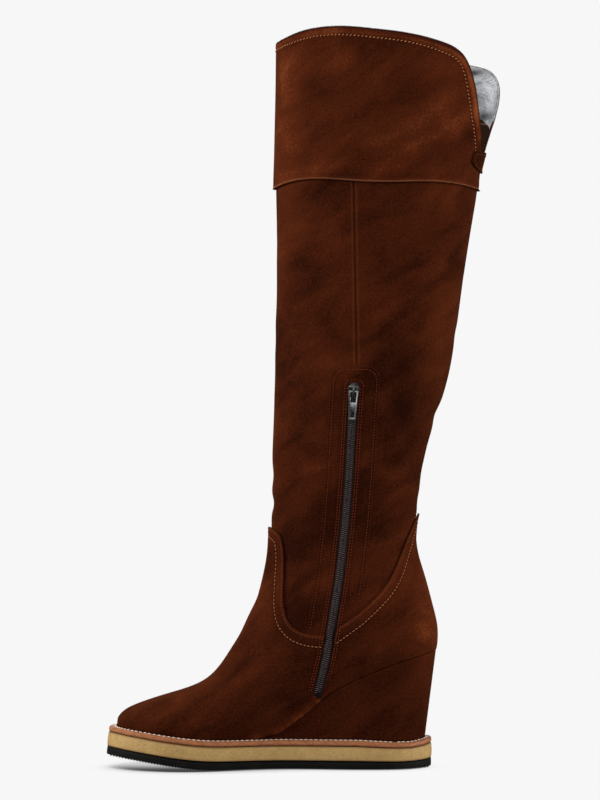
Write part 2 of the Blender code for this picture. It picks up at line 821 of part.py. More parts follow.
def quarter_block(edge, corner, split):
    """(s, u) grid from the waist to the back line, with the slot for the zip, and the slot's column."""
    left = nearest(edge, *beside_zip(99.5, -SLOT_HALF))
    right = nearest(edge, *beside_zip(105.1, SLOT_HALF))
    front = part_of(edge, corner, left, np.linspace(0, 1, FRONT_COLUMNS + 1))
    heel = part_of(edge, right, len(edge) - 1, 1 - np.linspace(1, 0, HEEL_COLUMNS + 1) ** 1.1)
    top = np.concatenate([front, heel])
    stops = heel_stops()
    bottom = np.column_stack([stops, 0 * stops + 1])
    guides = {0: split, len(top) - 1: None}
    for column, away in ((FRONT_COLUMNS, -SLOT_HALF), (FRONT_COLUMNS + 1, SLOT_HALF)):
        line = zip_line(away, np.linspace(SLOT_BOTTOM, 100, FOOT_ROWS)[:-1])
        guides[column] = np.concatenate([bottom[column][None], line, top[column][None]])
    return panel(bottom, top, row_shares(FOOT_ROWS), guides)


def foot(looks):
    """The foot part: open under the foot and at its top edge, with the slot for the zip."""
    edge = edge_path(FOOT_EDGE, FOOT_EDGE_FRONT, FOOT_EDGE_BACK)
    corner = nearest(edge, *TONGUE_FOOT)
    start = np.array([number_at_base(WAIST), 1.0])
    split = start + (edge[corner] - start) * row_shares(FOOT_ROWS)[:, None]
    vamp = vamp_block(edge, corner, split)
    quarter = quarter_block(edge, corner, split)
    params, quads = both_sides(vamp, lambda row, column: True)
    side, columns = len(params) // 2, vamp.shape[1]
    quads += [(k, k + 1, side + k + 1, side + k) for k in range(columns - 1)]
    more, others = both_sides(quarter, lambda row, column: column != FRONT_COLUMNS or row == 0)
    quads += [tuple(k + len(params) for k in quad) for quad in others]
    params = np.concatenate([params, more])
    outside = np.full(len(params), PLAY + FOOT_WALL)
    inside = np.full(len(params), PLAY)
    shell("upper", params, quads, outside, inside, looks["suede"])


SHAFT_ROWS = 15
SHAFT_SLOT_ROWS = 11
SHAFT_COLUMNS = 11
SLOT_SHARE = 0.57


def shaft(looks):
    """The leg's tube, lapped inside the foot part below and inside the cuff above."""
    edge = edge_path(SHAFT_EDGE, SHAFT_EDGE_FRONT, SHAFT_EDGE_BACK)
    left = nearest(edge, *beside_zip(89.5, -SLOT_HALF))
    right = nearest(edge, *beside_zip(91.0, SLOT_HALF))
    columns = np.linspace(0, 1, SHAFT_COLUMNS + 1)
    path = np.concatenate(
        [part_of(edge, 0, left, columns), part_of(edge, right, len(edge) - 1, columns)],
    )
    spots = skin(path[:, 0], path[:, 1])
    bottom = to_level(spots[:, 1], spots[:, 2])
    bottom[0, 0], bottom[-1, 0] = 0, 1
    seam_y = zip_curve(SLOT_TOP)
    sides = [to_level(seam_y + away, SHAFT_TOP)[0] for away in (-SLOT_HALF, SLOT_HALF)]
    turns = np.append(columns * sides[0], sides[1] + columns * (1 - sides[1]))
    top = np.column_stack([turns, np.full(len(turns), SHAFT_TOP)])
    guides = {0: None, len(top) - 1: None}
    close = np.linspace(0, 1, SHAFT_SLOT_ROWS + 1) ** 1.35
    even = np.linspace(0, 1, SHAFT_ROWS - SHAFT_SLOT_ROWS + 1)[1:]
    shares = np.append(SLOT_SHARE * close, SLOT_SHARE + (1 - SLOT_SHARE) * even)
    for column, away in ((SHAFT_COLUMNS, -SLOT_HALF), (SHAFT_COLUMNS + 1, SLOT_HALF)):
        start = bottom[column, 1]
        lower = [beside_zip(z, away) for z in start + (SLOT_TOP - start) * close[1:]]
        above = SLOT_TOP + (SHAFT_TOP - SLOT_TOP) * even[:-1]
        side = np.array([to_level(y, z) for y, z in lower] + [to_level(seam_y + away, z) for z in above])
        guides[column] = np.concatenate([bottom[column][None], side, top[column][None]])
    levels = panel(bottom, top, shares, guides)
    grid = np.array([[from_level(turn, z) for turn, z in row] for row in levels])
    params, quads = both_sides(
        grid, lambda row, column: column != SHAFT_COLUMNS or row >= SHAFT_SLOT_ROWS
    )
    outside = np.zeros(len(params))
    shell("shaft", params, quads, outside, outside - SHAFT_WALL, looks["suede"])


CUFF_ROWS = 8
CUFF_COLUMNS = 19
NOTCH_COLUMNS = 2


def cuff_side(top_rows, notch):
    """(s, u) grid of one side of the cuff; the last columns reach the back below the notch."""
    edge = edge_path(CUFF_EDGE, CUFF_EDGE_FRONT, CUFF_EDGE_BACK)
    rim = edge_path(top_rows, TOP_FRONT, None)
    low_corner = place(notch["y"][0], notch["z"][0])
    turn = int(np.argmin(np.abs(edge[:, 1] - low_corner[1])))
    columns = np.linspace(0, 1, CUFF_COLUMNS + 1)
    bottom = part_of(edge, 0, turn, columns)
    top = resample(rim, columns)
    curve = even_curve(notch["z"], notch["y"])
    heights = np.linspace(NOTCH_BASE, notch["z"][-1], CUFF_ROWS)
    side = [place(float(curve(z)), z) for z in heights[:-1]]
    start = section_at("front_z", NOTCH_BASE)
    front = np.append(bottom[0, 0], np.linspace(start, top[0, 0], CUFF_ROWS))
    guides = {
        0: np.column_stack([front, 0 * front]),
        CUFF_COLUMNS: np.concatenate([bottom[-1][None], side, top[-1][None]]),
    }
    grid = panel(bottom, top, row_shares(CUFF_ROWS), guides)
    extra = np.zeros((CUFF_ROWS + 1, NOTCH_COLUMNS, 2))
    share = np.linspace(0, 1, NOTCH_COLUMNS + 1)[1:, None]
    back = np.array([section_at("back_z", CUFF_EDGE_BACK), 1.0])
    extra[0] = bottom[-1] * (1 - share) + back * share
    extra[1] = grid[1, -1] * (1 - share) + np.array([section_at("back_z", NOTCH_BASE), 1.0]) * share
    return np.concatenate([grid, extra], axis=1)


def cuff(looks):
    """The wide turned cuff, open behind the knee in a notch that leans to the inner side."""
    inner = cuff_side(INNER_TOP, INNER_NOTCH)
    outer = cuff_side(OUTER_TOP, OUTER_NOTCH)

    def keep(row, column):
        return column < CUFF_COLUMNS or row == 0

    params, quads = both_sides(inner, keep, keep, outer)
    params, quads = used_only(params, quads)
    outside = np.full(len(params), PLAY + CUFF_WALL)
    shell("cuff", params, quads, outside, outside - CUFF_WALL, looks["suede"])


def back_patch(name, shares, low, high, rows, heights, look):
    """A strip across the back line; shares run from the inner side (0) to the outer side (1)."""
    us = np.where(shares < 0.5, 1, -1) * (1 - np.abs(shares - 0.5) * 2 * (1 - PATCH_END[name]))
    params = []
    for row in range(rows + 1):
        z = low + (high - low) * row / rows
        params += [(section_at("back_z", float(level)), u) for level, u in zip(z, us)]
    quads = grid_quads(rows, len(shares) - 1, 0, lambda row, column: True)
    count = len(params)
    shell(name, np.array(params), quads, np.full(count, heights[0]), np.full(count, heights[1]), look)


PATCH_END = {"back_gusset": 0.80, "back_tab": 0.845}


def back_pieces(looks):
    """Elastic gusset in the notch, and the rounded tab sewn over the notch's foot."""
    shares = np.linspace(0, 1, 13)
    level = np.ones(13)
    back_patch(
        "back_gusset",
        shares,
        level * (SHAFT_TOP + 0.6),
        level * GUSSET_TOP,
        4,
        (-PLAY, -PLAY - GUSSET_WALL),
        looks["elastic"],
    )
    away = np.abs(shares - 0.5) * 2
    low = 442.5 + 11 * (1 - np.sqrt(1 - (0.96 * away) ** 2))
    base = PLAY + CUFF_WALL + LAYER_PLAY
    back_patch("back_tab", shares, low, level * 459, 3, (base + TAB_WALL, base), looks["suede"])


# ---------------------------------------------------------------- zip


def chain_height(z):
    """Height of the zip's chain above the leg: it steps out where only the foot part is left."""
    share = np.clip((104 - z) / 14, 0, 1)
    return -0.1 + (FOOT_WALL + PLAY) * share * share * (3 - 2 * share)


def zip_foot(away):
    """Height of the zip's lower end, clear of the insole, which rises towards the heel."""
    return max(SLOT_BOTTOM + 1.4, seat(beside_zip(SLOT_BOTTOM, away)[0]) + INSOLE + 4)


def zip_chain(looks):
    """Tape behind the slot, with the chain standing in it."""
    behind = -SHAFT_WALL - PLAY - 0.2
    corners = (
        (-TAPE_HALF, behind - TAPE),
        (TAPE_HALF, behind - TAPE),
        (TAPE_HALF, behind),
        (CHAIN_HALF, behind),
        (CHAIN_HALF, None),
        (-CHAIN_HALF, None),
        (-CHAIN_HALF, behind),
        (-TAPE_HALF, behind),
    )
    rings = []
    for share in np.linspace(0, 1, 20):
        ring = []
        for away, depth in corners:
            z = zip_foot(away) * (1 - share) + (SLOT_TOP - 0.5) * share
            s, u = place(*beside_zip(z, away))
            ring.append(offset_skin(s, u, chain_height(z) if depth is None else depth))
        rings.append(np.array(ring))
    points = np.concatenate(rings)
    faces = []
    for low in range(len(rings) - 1):
        for k in range(8):
            after = (k + 1) % 8
            faces.append((low * 8 + k, low * 8 + after, low * 8 + 8 + after, low * 8 + 8 + k))
    for first in (0, (len(rings) - 1) * 8):
        faces += [tuple(first + k for k in (0, 1, 2, 7)), tuple(first + k for k in (2, 3, 6, 7))]
        faces.append(tuple(first + k for k in (3, 4, 5, 6)))
    return add_mesh("zip", points, faces, looks["tape"], smooth=False)


def slider_frame():
    """Place, downward, outward and sideways directions at the slider."""
    s, u = place(*beside_zip(SLIDER_HEIGHT, 0))
    low = place(*beside_zip(SLIDER_HEIGHT - 10, 0))
    spot = skin(s, u)
    out = normal(s, u)
    down = skin(*low) - spot
    down -= out * (down @ out)
    down /= np.linalg.norm(down)
    return spot, down, out, np.cross(down, out)


def pull_frame():
    """The pivot, with the directions of a pull that hangs from it."""
    spot, _, out, side = slider_frame()
    hang = np.array([0, 0, -1.0])
    hang -= side * (hang @ side)
    hang /= np.linalg.norm(hang)
    return spot + out * PIVOT_HEIGHT, hang, np.cross(side, hang), side


def prism(outline_points, low, high):
    """Points and faces of a flat outline drawn up between two heights."""
    count = len(outline_points)
    points = [(a, b, low) for a, b in outline_points] + [(a, b, high) for a, b in outline_points]
    faces = [tuple(reversed(range(count))), tuple(range(count, 2 * count))]
    faces += [(k, (k + 1) % count, count + (k + 1) % count, count + k) for k in range(count)]
    return points, faces


def rounded(points, radius, steps=3):
    """A closed outline with its corners turned to arcs."""
    result = []
    spots = np.array(points, float)
    for before, corner, after in zip(np.roll(spots, 1, 0), spots, np.roll(spots, -1, 0)):
        inward = (before - corner) / np.linalg.norm(before - corner)
        onward = (after - corner) / np.linalg.norm(after - corner)
        for k in range(steps + 1):
            t = k / steps
            result.append(
                (corner + inward * radius) * (1 - t) ** 2
                + corner * 2 * t * (1 - t)
                + (corner + onward * radius) * t * t
            )
    return [tuple(spot) for spot in result]


def framed(name, parts, frame, origin_height, look):
    """A mesh from prisms given as (sideways, downward, outward), set on the slider's frame."""
    spot, down, out, side = frame
    origin = spot + out * origin_height
    for number, (points, faces) in enumerate(parts):
        world = [spot + side * a + down * b + out * c for a, b, c in points]
        yield add_mesh(name if number == 0 else f"{name}_cut_{number}", world, faces, look, False, origin)


def combine(body, others, operations):
    """Joins helpers to the body or cuts them from it, and hides them."""
    for other, operation in zip(others, operations):
        change = body.modifiers.new(other.name, "BOOLEAN")
        change.operation = operation
        change.solver = "EXACT"
        change.object = other
        other.hide_render = True
        other.display_type = "WIRE"


PIVOT_HEIGHT = 3.3
PULL_THICK = 1.2


def slider(looks):
    """Slider body with the bridge that holds the pull."""
    frame = slider_frame()
    body = rounded(
        [(-3.3, 5.2), (3.3, 5.2), (3.1, 0.5), (3.2, -4.4), (1.5, -6), (-1.5, -6), (-3.2, -4.4)],
        0.8,
    )
    shoulder = rounded([(-4.2, 3.6), (4.2, 3.6), (4.2, -4.2), (-4.2, -4.2)], 1.4)
    bridge = rounded([(-0.9, 3.1), (0.9, 3.1), (0.9, -3.1), (-0.9, -3.1)], 0.3, 2)
    arch = [(-1.2, 2.1), (1.2, 2.1), (1.2, -2.1), (-1.2, -2.1)]
    parts = [prism(body, 0.3, 1.3), prism(shoulder, 1.0, 2.1), prism(bridge, 1.9, 5.2)]
    parts.append(prism(arch, 2.1, 4.4))
    solid, *others = list(framed("zip_slider", parts, frame, PIVOT_HEIGHT, looks["steel"]))
    combine(solid, others, ("UNION", "UNION", "DIFFERENCE"))


def pull(looks):
    """Pull tab, hanging by the bar that turns under the slider's bridge."""
    low, high = -PULL_THICK / 2, PULL_THICK / 2
    plate = rounded([(-3.6, -0.6), (3.6, -0.6), (2.7, PULL_LENGTH), (-2.7, PULL_LENGTH)], 0.5)
    eye = rounded([(-2.2, 0.6), (2.2, 0.6), (2.0, 8.0), (-2.0, 8.0)], 0.4)
    window = rounded([(-1.6, 14.6), (1.6, 14.6), (1.5, 19.2), (-1.5, 19.2)], 0.4)
    parts = [prism(plate, low, high), prism(eye, low - 1, high + 1), prism(window, low - 1, high + 1)]
    solid, *others = list(framed("zip_pull", parts, pull_frame(), 0, looks["steel"]))
    combine(solid, others, ("DIFFERENCE", "DIFFERENCE"))


def main():
    for old in list(bpy.data.objects):
        bpy.data.objects.remove(old)
    looks = {
        "suede": material("suede", (0.10, 0.025, 0.009), 0.95),
        "rubber": material("rubber", (0.012, 0.012, 0.011), 0.7),
        "crepe": material("crepe", (0.42, 0.29, 0.13), 0.8),
        "welt": material("welt", (0.29, 0.13, 0.055), 0.6),
        "insole": material("insole", (0.45, 0.45, 0.46), 0.6),
        "elastic": material("elastic", (0.02, 0.01, 0.007), 0.8),
        "tape": material("tape", (0.03, 0.018, 0.014), 0.8),
        "steel": material("steel", (0.35, 0.34, 0.33), 0.35, 1.0),
    }
    sole(looks)
    insole(looks)
    wedge(looks)
    foot(looks)
    shaft(looks)
    cuff(looks)
    back_pieces(looks)
    zip_chain(looks)
    slider(looks)
    pull(looks)


main()
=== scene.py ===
import math

import bmesh
import bpy
import numpy as np
from mathutils import Matrix, Vector, noise
from mathutils.bvhtree import BVHTree
from mathutils.kdtree import KDTree


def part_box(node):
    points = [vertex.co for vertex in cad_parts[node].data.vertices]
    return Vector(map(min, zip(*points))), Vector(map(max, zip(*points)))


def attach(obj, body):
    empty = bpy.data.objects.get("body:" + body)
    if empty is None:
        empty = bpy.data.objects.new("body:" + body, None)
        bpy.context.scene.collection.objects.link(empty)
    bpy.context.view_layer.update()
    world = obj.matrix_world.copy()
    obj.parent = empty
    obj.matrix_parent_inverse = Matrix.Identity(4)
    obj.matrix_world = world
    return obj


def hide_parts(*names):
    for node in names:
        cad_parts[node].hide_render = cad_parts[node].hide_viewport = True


# Right over-the-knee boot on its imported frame. Metres, +Z up, toe towards -Y, zip side +X.
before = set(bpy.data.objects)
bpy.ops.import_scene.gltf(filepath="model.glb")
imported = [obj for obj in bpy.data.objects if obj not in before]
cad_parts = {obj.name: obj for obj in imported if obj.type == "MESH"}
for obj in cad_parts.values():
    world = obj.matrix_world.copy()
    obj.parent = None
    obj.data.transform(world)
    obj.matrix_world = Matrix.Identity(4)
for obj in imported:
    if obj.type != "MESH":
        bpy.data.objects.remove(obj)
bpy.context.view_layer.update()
mm = 0.001
bpy.context.scene.view_settings.view_transform = "Standard"
print("frame loaded")


def srgb(red, green, blue):
    values = [v / 255 for v in (red, green, blue)]
    linear = [v / 12.92 if v <= 0.04045 else ((v + 0.055) / 1.055) ** 2.4 for v in values]
    return (*linear, 1.0)


def pick(obj):
    bpy.ops.object.select_all(action="DESELECT")
    obj.select_set(True)
    bpy.context.view_layer.objects.active = obj


def editAll(obj):
    pick(obj)
    bpy.ops.object.mode_set(mode="EDIT")
    bpy.ops.mesh.select_all(action="SELECT")


def leaveEdit():
    bpy.ops.object.mode_set(mode="OBJECT")


def applyModifier(obj, kind, **settings):
    pick(obj)
    made = obj.modifiers.new(kind.lower(), kind)
    for key, value in settings.items():
        setattr(made, key, value)
    bpy.ops.object.modifier_apply(modifier=made.name)


def linked(name, data):
    made = bpy.data.objects.new(name, data)
    bpy.context.scene.collection.objects.link(made)
    return made


def discard(obj):
    bpy.data.objects.remove(obj)


def keep(obj, slotName, body="boot", replaced=()):
    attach(obj, body)
    if replaced:
        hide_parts(*replaced)
    return obj


def copyOf(node, name, *looks):
    # a piece of the frame as one merged mesh, ready to be shaped
    made = linked(name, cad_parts[node].data.copy())
    made.data.materials.clear()
    for look in looks:
        made.data.materials.append(look.mat)
    pick(made)
    bpy.ops.mesh.customdata_custom_splitnormals_clear()
    editAll(made)
    bpy.ops.mesh.remove_doubles(threshold=0.01 * mm)
    bpy.ops.mesh.tris_convert_to_quads(face_threshold=math.radians(60), shape_threshold=math.radians(110))
    leaveEdit()
    bpy.ops.object.shade_smooth()
    return made


def spotsOf(obj, what="co"):
    # the place, or with "normal" the normal, of every point of a mesh
    values = np.empty(len(obj.data.vertices) * 3)
    obj.data.vertices.foreach_get(what, values)
    return values.reshape(-1, 3)


def setSpots(obj, spots):
    obj.data.vertices.foreach_set("co", spots.reshape(-1))
    obj.data.update()


def paintMark(obj, name, values):
    # an attribute that the finishes read as a mask
    mark = obj.data.attributes.get(name) or obj.data.attributes.new(name, "FLOAT", "POINT")
    mark.data.foreach_set("value", values)


def treeOf(*objects, side=None):
    # a search tree of whole pieces, or of one side of their walls
    spots, faces = [], []
    for obj in objects:
        first = len(spots)
        spots += [v.co.copy() for v in obj.data.vertices]
        kept = [p for p in obj.data.polygons if side is None or p.material_index == side]
        faces += [[first + k for k in p.vertices] for p in kept]
    return BVHTree.FromPolygons(spots, faces)


def finderOf(points):
    # finds the nearest of a row of points
    finder = KDTree(len(points))
    for number, point in enumerate(points):
        finder.insert(point, number)
    finder.balance()
    return finder


def fromZipSide(tree, y, z):
    # the outermost point of the zip side at this place, and its normal
    return tree.ray_cast(Vector((0.12, y, z)), Vector((-1, 0, 0)))[:2]


def joined(name, base, places, look):
    # one mesh from many placed copies of a small one
    spots, faces = [], []
    baseSpots = spotsOf(base)
    baseFaces = [list(p.vertices) for p in base.data.polygons]
    for place in places:
        matrix = np.array(place)
        first = len(spots) * len(baseSpots)
        spots.append(baseSpots @ matrix[:3, :3].T + matrix[:3, 3])
        faces += [[first + k for k in face] for face in baseFaces]
    mesh = bpy.data.meshes.new(name)
    mesh.from_pydata(np.concatenate(spots).tolist(), [], faces)
    mesh.materials.append(look.mat)
    made = linked(name, mesh)
    pick(made)
    bpy.ops.object.shade_smooth()
    return made


def turnedTo(spot, along, up, scale):
    along = Vector(along).normalized()
    across = Vector(up).cross(along).normalized()
    top = along.cross(across)
    matrix = Matrix((along, across, top)).transposed().to_4x4()
    return Matrix.Translation(spot) @ matrix @ Matrix.Diagonal((*scale, 1))


def drawnBead(rings):
    # a small form drawn out ring by ring along X; each ring is a place along, a radius and a height
    bpy.ops.object.select_all(action="DESELECT")
    bpy.ops.mesh.primitive_circle_add(vertices=6, radius=rings[0][1], fill_type="NGON", rotation=(0, math.pi / 2, 0))
    bead = bpy.context.object
    bpy.ops.object.transform_apply(location=False, rotation=True, scale=False)
    editAll(bead)
    bpy.ops.transform.translate(value=(rings[0][0], 0, rings[0][2]))
    for (x, radius, z), (oldX, oldRadius, oldZ) in zip(rings[1:], rings):
        bpy.ops.mesh.extrude_region_move(TRANSFORM_OT_translate={"value": (x - oldX, 0, z - oldZ)})
        wider = radius / oldRadius
        bpy.ops.transform.resize(value=(1, wider, wider), center_override=(x, 0, z))
    bpy.ops.mesh.select_all(action="SELECT")
    bpy.ops.mesh.normals_make_consistent(inside=False)
    leaveEdit()
    return bead


class Sock:
    # a socket that takes part in sums and becomes Math nodes
    def __init__(self, look, socket):
        self.look = look
        self.socket = socket

    def calc(self, operation, *others, clamp=False):
        sockets = dict(enumerate((self, *others)))
        return self.look.node("ShaderNodeMath", {"operation": operation, "use_clamp": clamp}, sockets)

    def __add__(self, other):
        return self.calc("ADD", other)

    __radd__ = __add__

    def __mul__(self, other):
        return self.calc("MULTIPLY", other)

    __rmul__ = __mul__

    def __sub__(self, other):
        return self.calc("SUBTRACT", other)

    def __rsub__(self, other):
        return (self * -1) + other

    def __truediv__(self, other):
        return self.calc("DIVIDE", other)

    def clipped(self):
        return self.calc("ADD", 0.0, clamp=True)

    def step(self, low, high):
        # a soft step from 0 to 1 between two values
        sockets = {"Value": self, "From Min": low, "From Max": high}
        return self.look.node("ShaderNodeMapRange", {"interpolation_type": "SMOOTHSTEP"}, sockets)

    def bell(self, width):
        # 1 at zero, falling away over the width
        return ((self / width).calc("POWER", 2.0) * -1).calc("EXPONENT")


class Look:
    # a material, and its nodes by short names
    def __init__(self, name):
        self.mat = bpy.data.materials.new(name)
        self.mat.use_nodes = True
        self.tree = self.mat.node_tree
        self.shader = self.tree.nodes["Principled BSDF"]

    def node(self, kind, settings=None, sockets=None, out=0):
        made = self.tree.nodes.new(kind)
        for key, value in (settings or {}).items():
            setattr(made, key, value)
        for key, value in (sockets or {}).items():
            self.join(value, made.inputs[key])
        return Sock(self, made.outputs[out])

    def join(self, value, target):
        if isinstance(value, Sock):
            self.tree.links.new(value.socket, target)
        else:
            target.default_value = value

    def place(self, stretch=(1, 1, 1), turn=(0, 0, 0)):
        spot = self.node("ShaderNodeTexCoord", out="Object")
        sockets = {"Vector": spot, "Scale": stretch, "Rotation": turn}
        return self.node("ShaderNodeMapping", {"vector_type": "TEXTURE"}, sockets)

    def noise(self, scale, detail=2.0, roughness=0.5, distortion=0.0, stretch=(1, 1, 1), turn=(0, 0, 0)):
        sockets = {"Vector": self.place(stretch, turn), "Scale": scale, "Detail": detail}
        sockets.update({"Roughness": roughness, "Distortion": distortion})
        return self.node("ShaderNodeTexNoise", {}, sockets)

    def cells(self, scale, feature="F1"):
        return self.node("ShaderNodeTexVoronoi", {"feature": feature}, {"Vector": self.place(), "Scale": scale})

    def axis(self, name):
        spot = self.node("ShaderNodeTexCoord", out="Object")
        return self.node("ShaderNodeSeparateXYZ", {}, {"Vector": spot}, name)

    def ribs(self, name, pitch):
        # even ribs across an axis, from 0 to 1
        return (self.axis(name) * (2 * math.pi / pitch)).calc("SINE") * 0.5 + 0.5

    def marked(self, name):
        return self.node("ShaderNodeAttribute", {"attribute_name": name}, {}, "Fac")

    def mix(self, share, first, second):
        return self.node("ShaderNodeMix", {"data_type": "RGBA"}, {0: share, 6: first, 7: second}, 2)

    def bump(self, height, distance, strength=1.0):
        return self.node("ShaderNodeBump", {}, {"Height": height, "Distance": distance, "Strength": strength})

    def wear(self, **values):
        names = {
            "colour": "Base Color", "rough": "Roughness", "metal": "Metallic", "normal": "Normal",
            "shine": "Specular IOR Level", "sheen": "Sheen Weight", "sheenRough": "Sheen Roughness",
            "sheenTint": "Sheen Tint",
        }
        for key, value in values.items():
            self.join(value, self.shader.inputs[names[key]])
        return self

    def stained(self, colour, mark, shade, share=1.0):
        return self.mix((self.marked(mark) * share).clipped(), colour, shade)

    def worn(self, v, colour, rough, height, strength=1.0, **more):
        normal = self.bump(height, v["relief"], strength)
        return self.wear(colour=colour, rough=rough.clipped(), normal=normal, shine=v["shine"], **more)


suedeValues = {
    "deep": srgb(42, 16, 8), "body": srgb(93, 41, 20), "raised": srgb(154, 84, 46),
    "edge": srgb(140, 74, 42), "ink": srgb(26, 16, 13),
    "patch": 17.0, "streak": 58.0, "fleck": 640.0, "nap": 1900.0,  # noise sizes, coarse to fine
    "patchShare": 0.52, "streakShare": 1.15, "fleckShare": 1.1, "napShare": 0.9,
    "level": 0.38, "raiseFrom": 0.85, "relief": 0.30 * mm,
    "brush": (math.radians(32), 0, 0), "long": (1.6, 2.6, 1.0),  # the way the nap is brushed
    "shine": 0.0, "sheen": 0.10, "sheenTint": srgb(224, 140, 92), "sheenRough": 0.45,
}
# The stitched join up the shaft: its slope and start, where it begins, and its half widths
shaftSeam = {
    "lean": -0.0162, "start": 0.0445, "low": 0.298, "fade": 4 * mm,
    "valley": 0.5 * mm, "shoulderAway": 1.7 * mm, "shoulder": 0.8 * mm,
}


def suedeLook(name, lift=0.0, seam=None, mottle=1.0):
    v = suedeValues
    look = Look(name)
    patches = look.noise(v["patch"], 2, 0.45, 0.9, v["long"], v["brush"])
    streaks = look.noise(v["streak"], 3, 0.5, 0.5, v["long"], v["brush"])
    flecks = look.noise(v["fleck"], 3, 0.65)
    nap = look.noise(v["nap"], 2, 0.7)
    grain = (flecks - 0.5) * v["fleckShare"] + (nap - 0.5) * v["napShare"]
    clouds = (patches.step(0.28, 0.72) - 0.5) * v["patchShare"] + (streaks - 0.5) * v["streakShare"]
    # the marked tone adds painted light and shade
    tone = clouds * mottle + grain + look.marked("paintedLightShade") + (lift + v["level"])
    colour = look.mix(tone.clipped(), v["deep"], v["body"])
    colour = look.mix(((tone - v["raiseFrom"]) * 0.9).clipped(), colour, v["raised"])
    for mark, share, shade in (("edge", 0.2, "edge"), ("press", 0.45, "deep"), ("ink", 0.85, "ink")):
        colour = look.stained(colour, mark, v[shade], share)
    height = nap * 0.5 + flecks * 0.9 + streaks * 0.35
    if seam:
        # a narrow valley between two soft shoulders
        away = look.axis("Y") - (look.axis("Z") * seam["lean"] + seam["start"])
        inside = look.axis("X").step(0.0, 0.01) * look.axis("Z").step(seam["low"], seam["low"] + seam["fade"])
        valley = away.bell(seam["valley"]) * inside
        shoulders = (away.calc("ABSOLUTE") - seam["shoulderAway"]).bell(seam["shoulder"]) * inside
        height = height - valley * 3.4 + shoulders * 0.7
        colour = look.mix((valley * 0.75).clipped(), colour, v["deep"])
        colour = look.mix((shoulders * 0.1).clipped(), colour, v["raised"])
    sheen = {key: v[key] for key in ("sheen", "sheenRough", "sheenTint")}
    return look.worn(v, colour, flecks * 0.12 + 0.86, height, 0.8, **sheen)


liningValues = {
    "bright": srgb(252, 252, 254), "dull": srgb(196, 198, 203), "crease": srgb(50, 52, 58), "ink": srgb(34, 30, 30),
    "grain": 900.0, "crush": 38.0, "wrinkle": 170.0, "metal": 0.22, "relief": 1.0 * mm,
    "shine": 0.5,
}


def liningLook(name):
    v = liningValues
    look = Look(name)
    crush = look.noise(v["crush"], 3, 0.55, 1.2)
    wrinkles = look.noise(v["wrinkle"], 3, 0.55, 1.6, (1.0, 2.2, 1.0))
    grain = look.cells(v["grain"], "DISTANCE_TO_EDGE")
    tone = crush.step(0.3, 0.62) * 0.7 + wrinkles.step(0.3, 0.7) * 0.3
    colour = look.mix(tone.clipped(), v["dull"], v["bright"])
    # painted shade on the lining: the crease colour is laid where the zones mark it
    colour = look.stained(colour, "paintedLiningShade", v["crease"])
    ink = look.marked("ink").clipped()
    height = crush * 5.5 + wrinkles * 0.9 + grain.step(0, 0.2) * 0.12
    colour = look.mix(ink, colour, v["ink"])
    return look.worn(v, colour, wrinkles * 0.2 + 0.3, height, metal=(1 - ink) * v["metal"])


crepeValues = {
    "dark": srgb(170, 133, 77), "light": srgb(208, 172, 110), "rim": srgb(104, 70, 34), "pit": srgb(120, 90, 46),
    "pore": 760.0, "mottle": 110.0, "fine": 900.0, "rimShare": 0.75, "pitShare": 0.3,
    "relief": 0.25 * mm, "shine": 0.35,
}


def crepeLook(name):
    v = crepeValues
    look = Look(name)
    pits = 1 - look.cells(v["pore"]).step(0.0, 0.32)
    mottle = look.noise(v["mottle"], 3, 0.5, 0.3)
    fine = look.noise(v["fine"], 3, 0.65)
    tone = (mottle.step(0.3, 0.72) * 0.3 + fine.step(0.25, 0.75) * 0.7).clipped()
    colour = look.mix(tone, v["dark"], v["light"])
    colour = look.stained(colour, "rim", v["rim"], v["rimShare"])
    colour = look.mix((pits * v["pitShare"]).clipped(), colour, v["pit"])
    height = mottle * 1.4 - pits * 0.7 + fine * 0.5
    return look.worn(v, colour, fine * 0.15 + 0.62, height, 0.8)


rubberValues = {
    "dark": srgb(8, 8, 7), "light": srgb(26, 24, 20), "dust": 70.0, "fine": 1400.0,
    "relief": 0.12 * mm, "shine": 0.12,
}


def rubberLook(name):
    v = rubberValues
    look = Look(name)
    dust = look.noise(v["dust"], 4, 0.6)
    fine = look.noise(v["fine"], 3, 0.6)
    colour = look.mix((dust.step(0.45, 0.8) * 0.5 + fine * 0.2).clipped(), v["dark"], v["light"])
    return look.worn(v, colour, fine * 0.2 + 0.55, fine + dust)


elasticValues = {
    "dark": srgb(22, 11, 7), "light": srgb(46, 26, 16), "rib": 1.15 * mm, "row": 0.8 * mm, "fuzz": 1500.0,
    "relief": 0.18 * mm, "shine": 0.05,
}


def elasticLook(name):
    v = elasticValues
    look = Look(name)
    ribs = look.ribs("X", v["rib"])
    rows = look.ribs("Z", v["row"])
    fuzz = look.noise(v["fuzz"], 3, 0.6)
    colour = look.mix((ribs * 0.5 + rows * 0.2 + fuzz * 0.3).clipped(), v["dark"], v["light"])
    return look.worn(v, colour, fuzz * 0.1 + 0.78, ribs * 1.2 + rows * 0.5 + fuzz * 0.5)


tapeValues = {
    "dark": srgb(24, 13, 10), "light": srgb(50, 31, 25), "weave": 0.7 * mm, "fuzz": 1800.0,
    "relief": 0.1 * mm, "shine": 0.15,
}


def tapeLook(name):
    v = tapeValues
    look = Look(name)
    rows = look.ribs("Z", v["weave"])
    cols = look.ribs("Y", v["weave"])
    fuzz = look.noise(v["fuzz"], 2, 0.6)
    colour = look.mix((rows * cols * 0.6 + fuzz * 0.4).clipped(), v["dark"], v["light"])
    return look.worn(v, colour, fuzz * 0.1 + 0.75, rows + cols + fuzz)


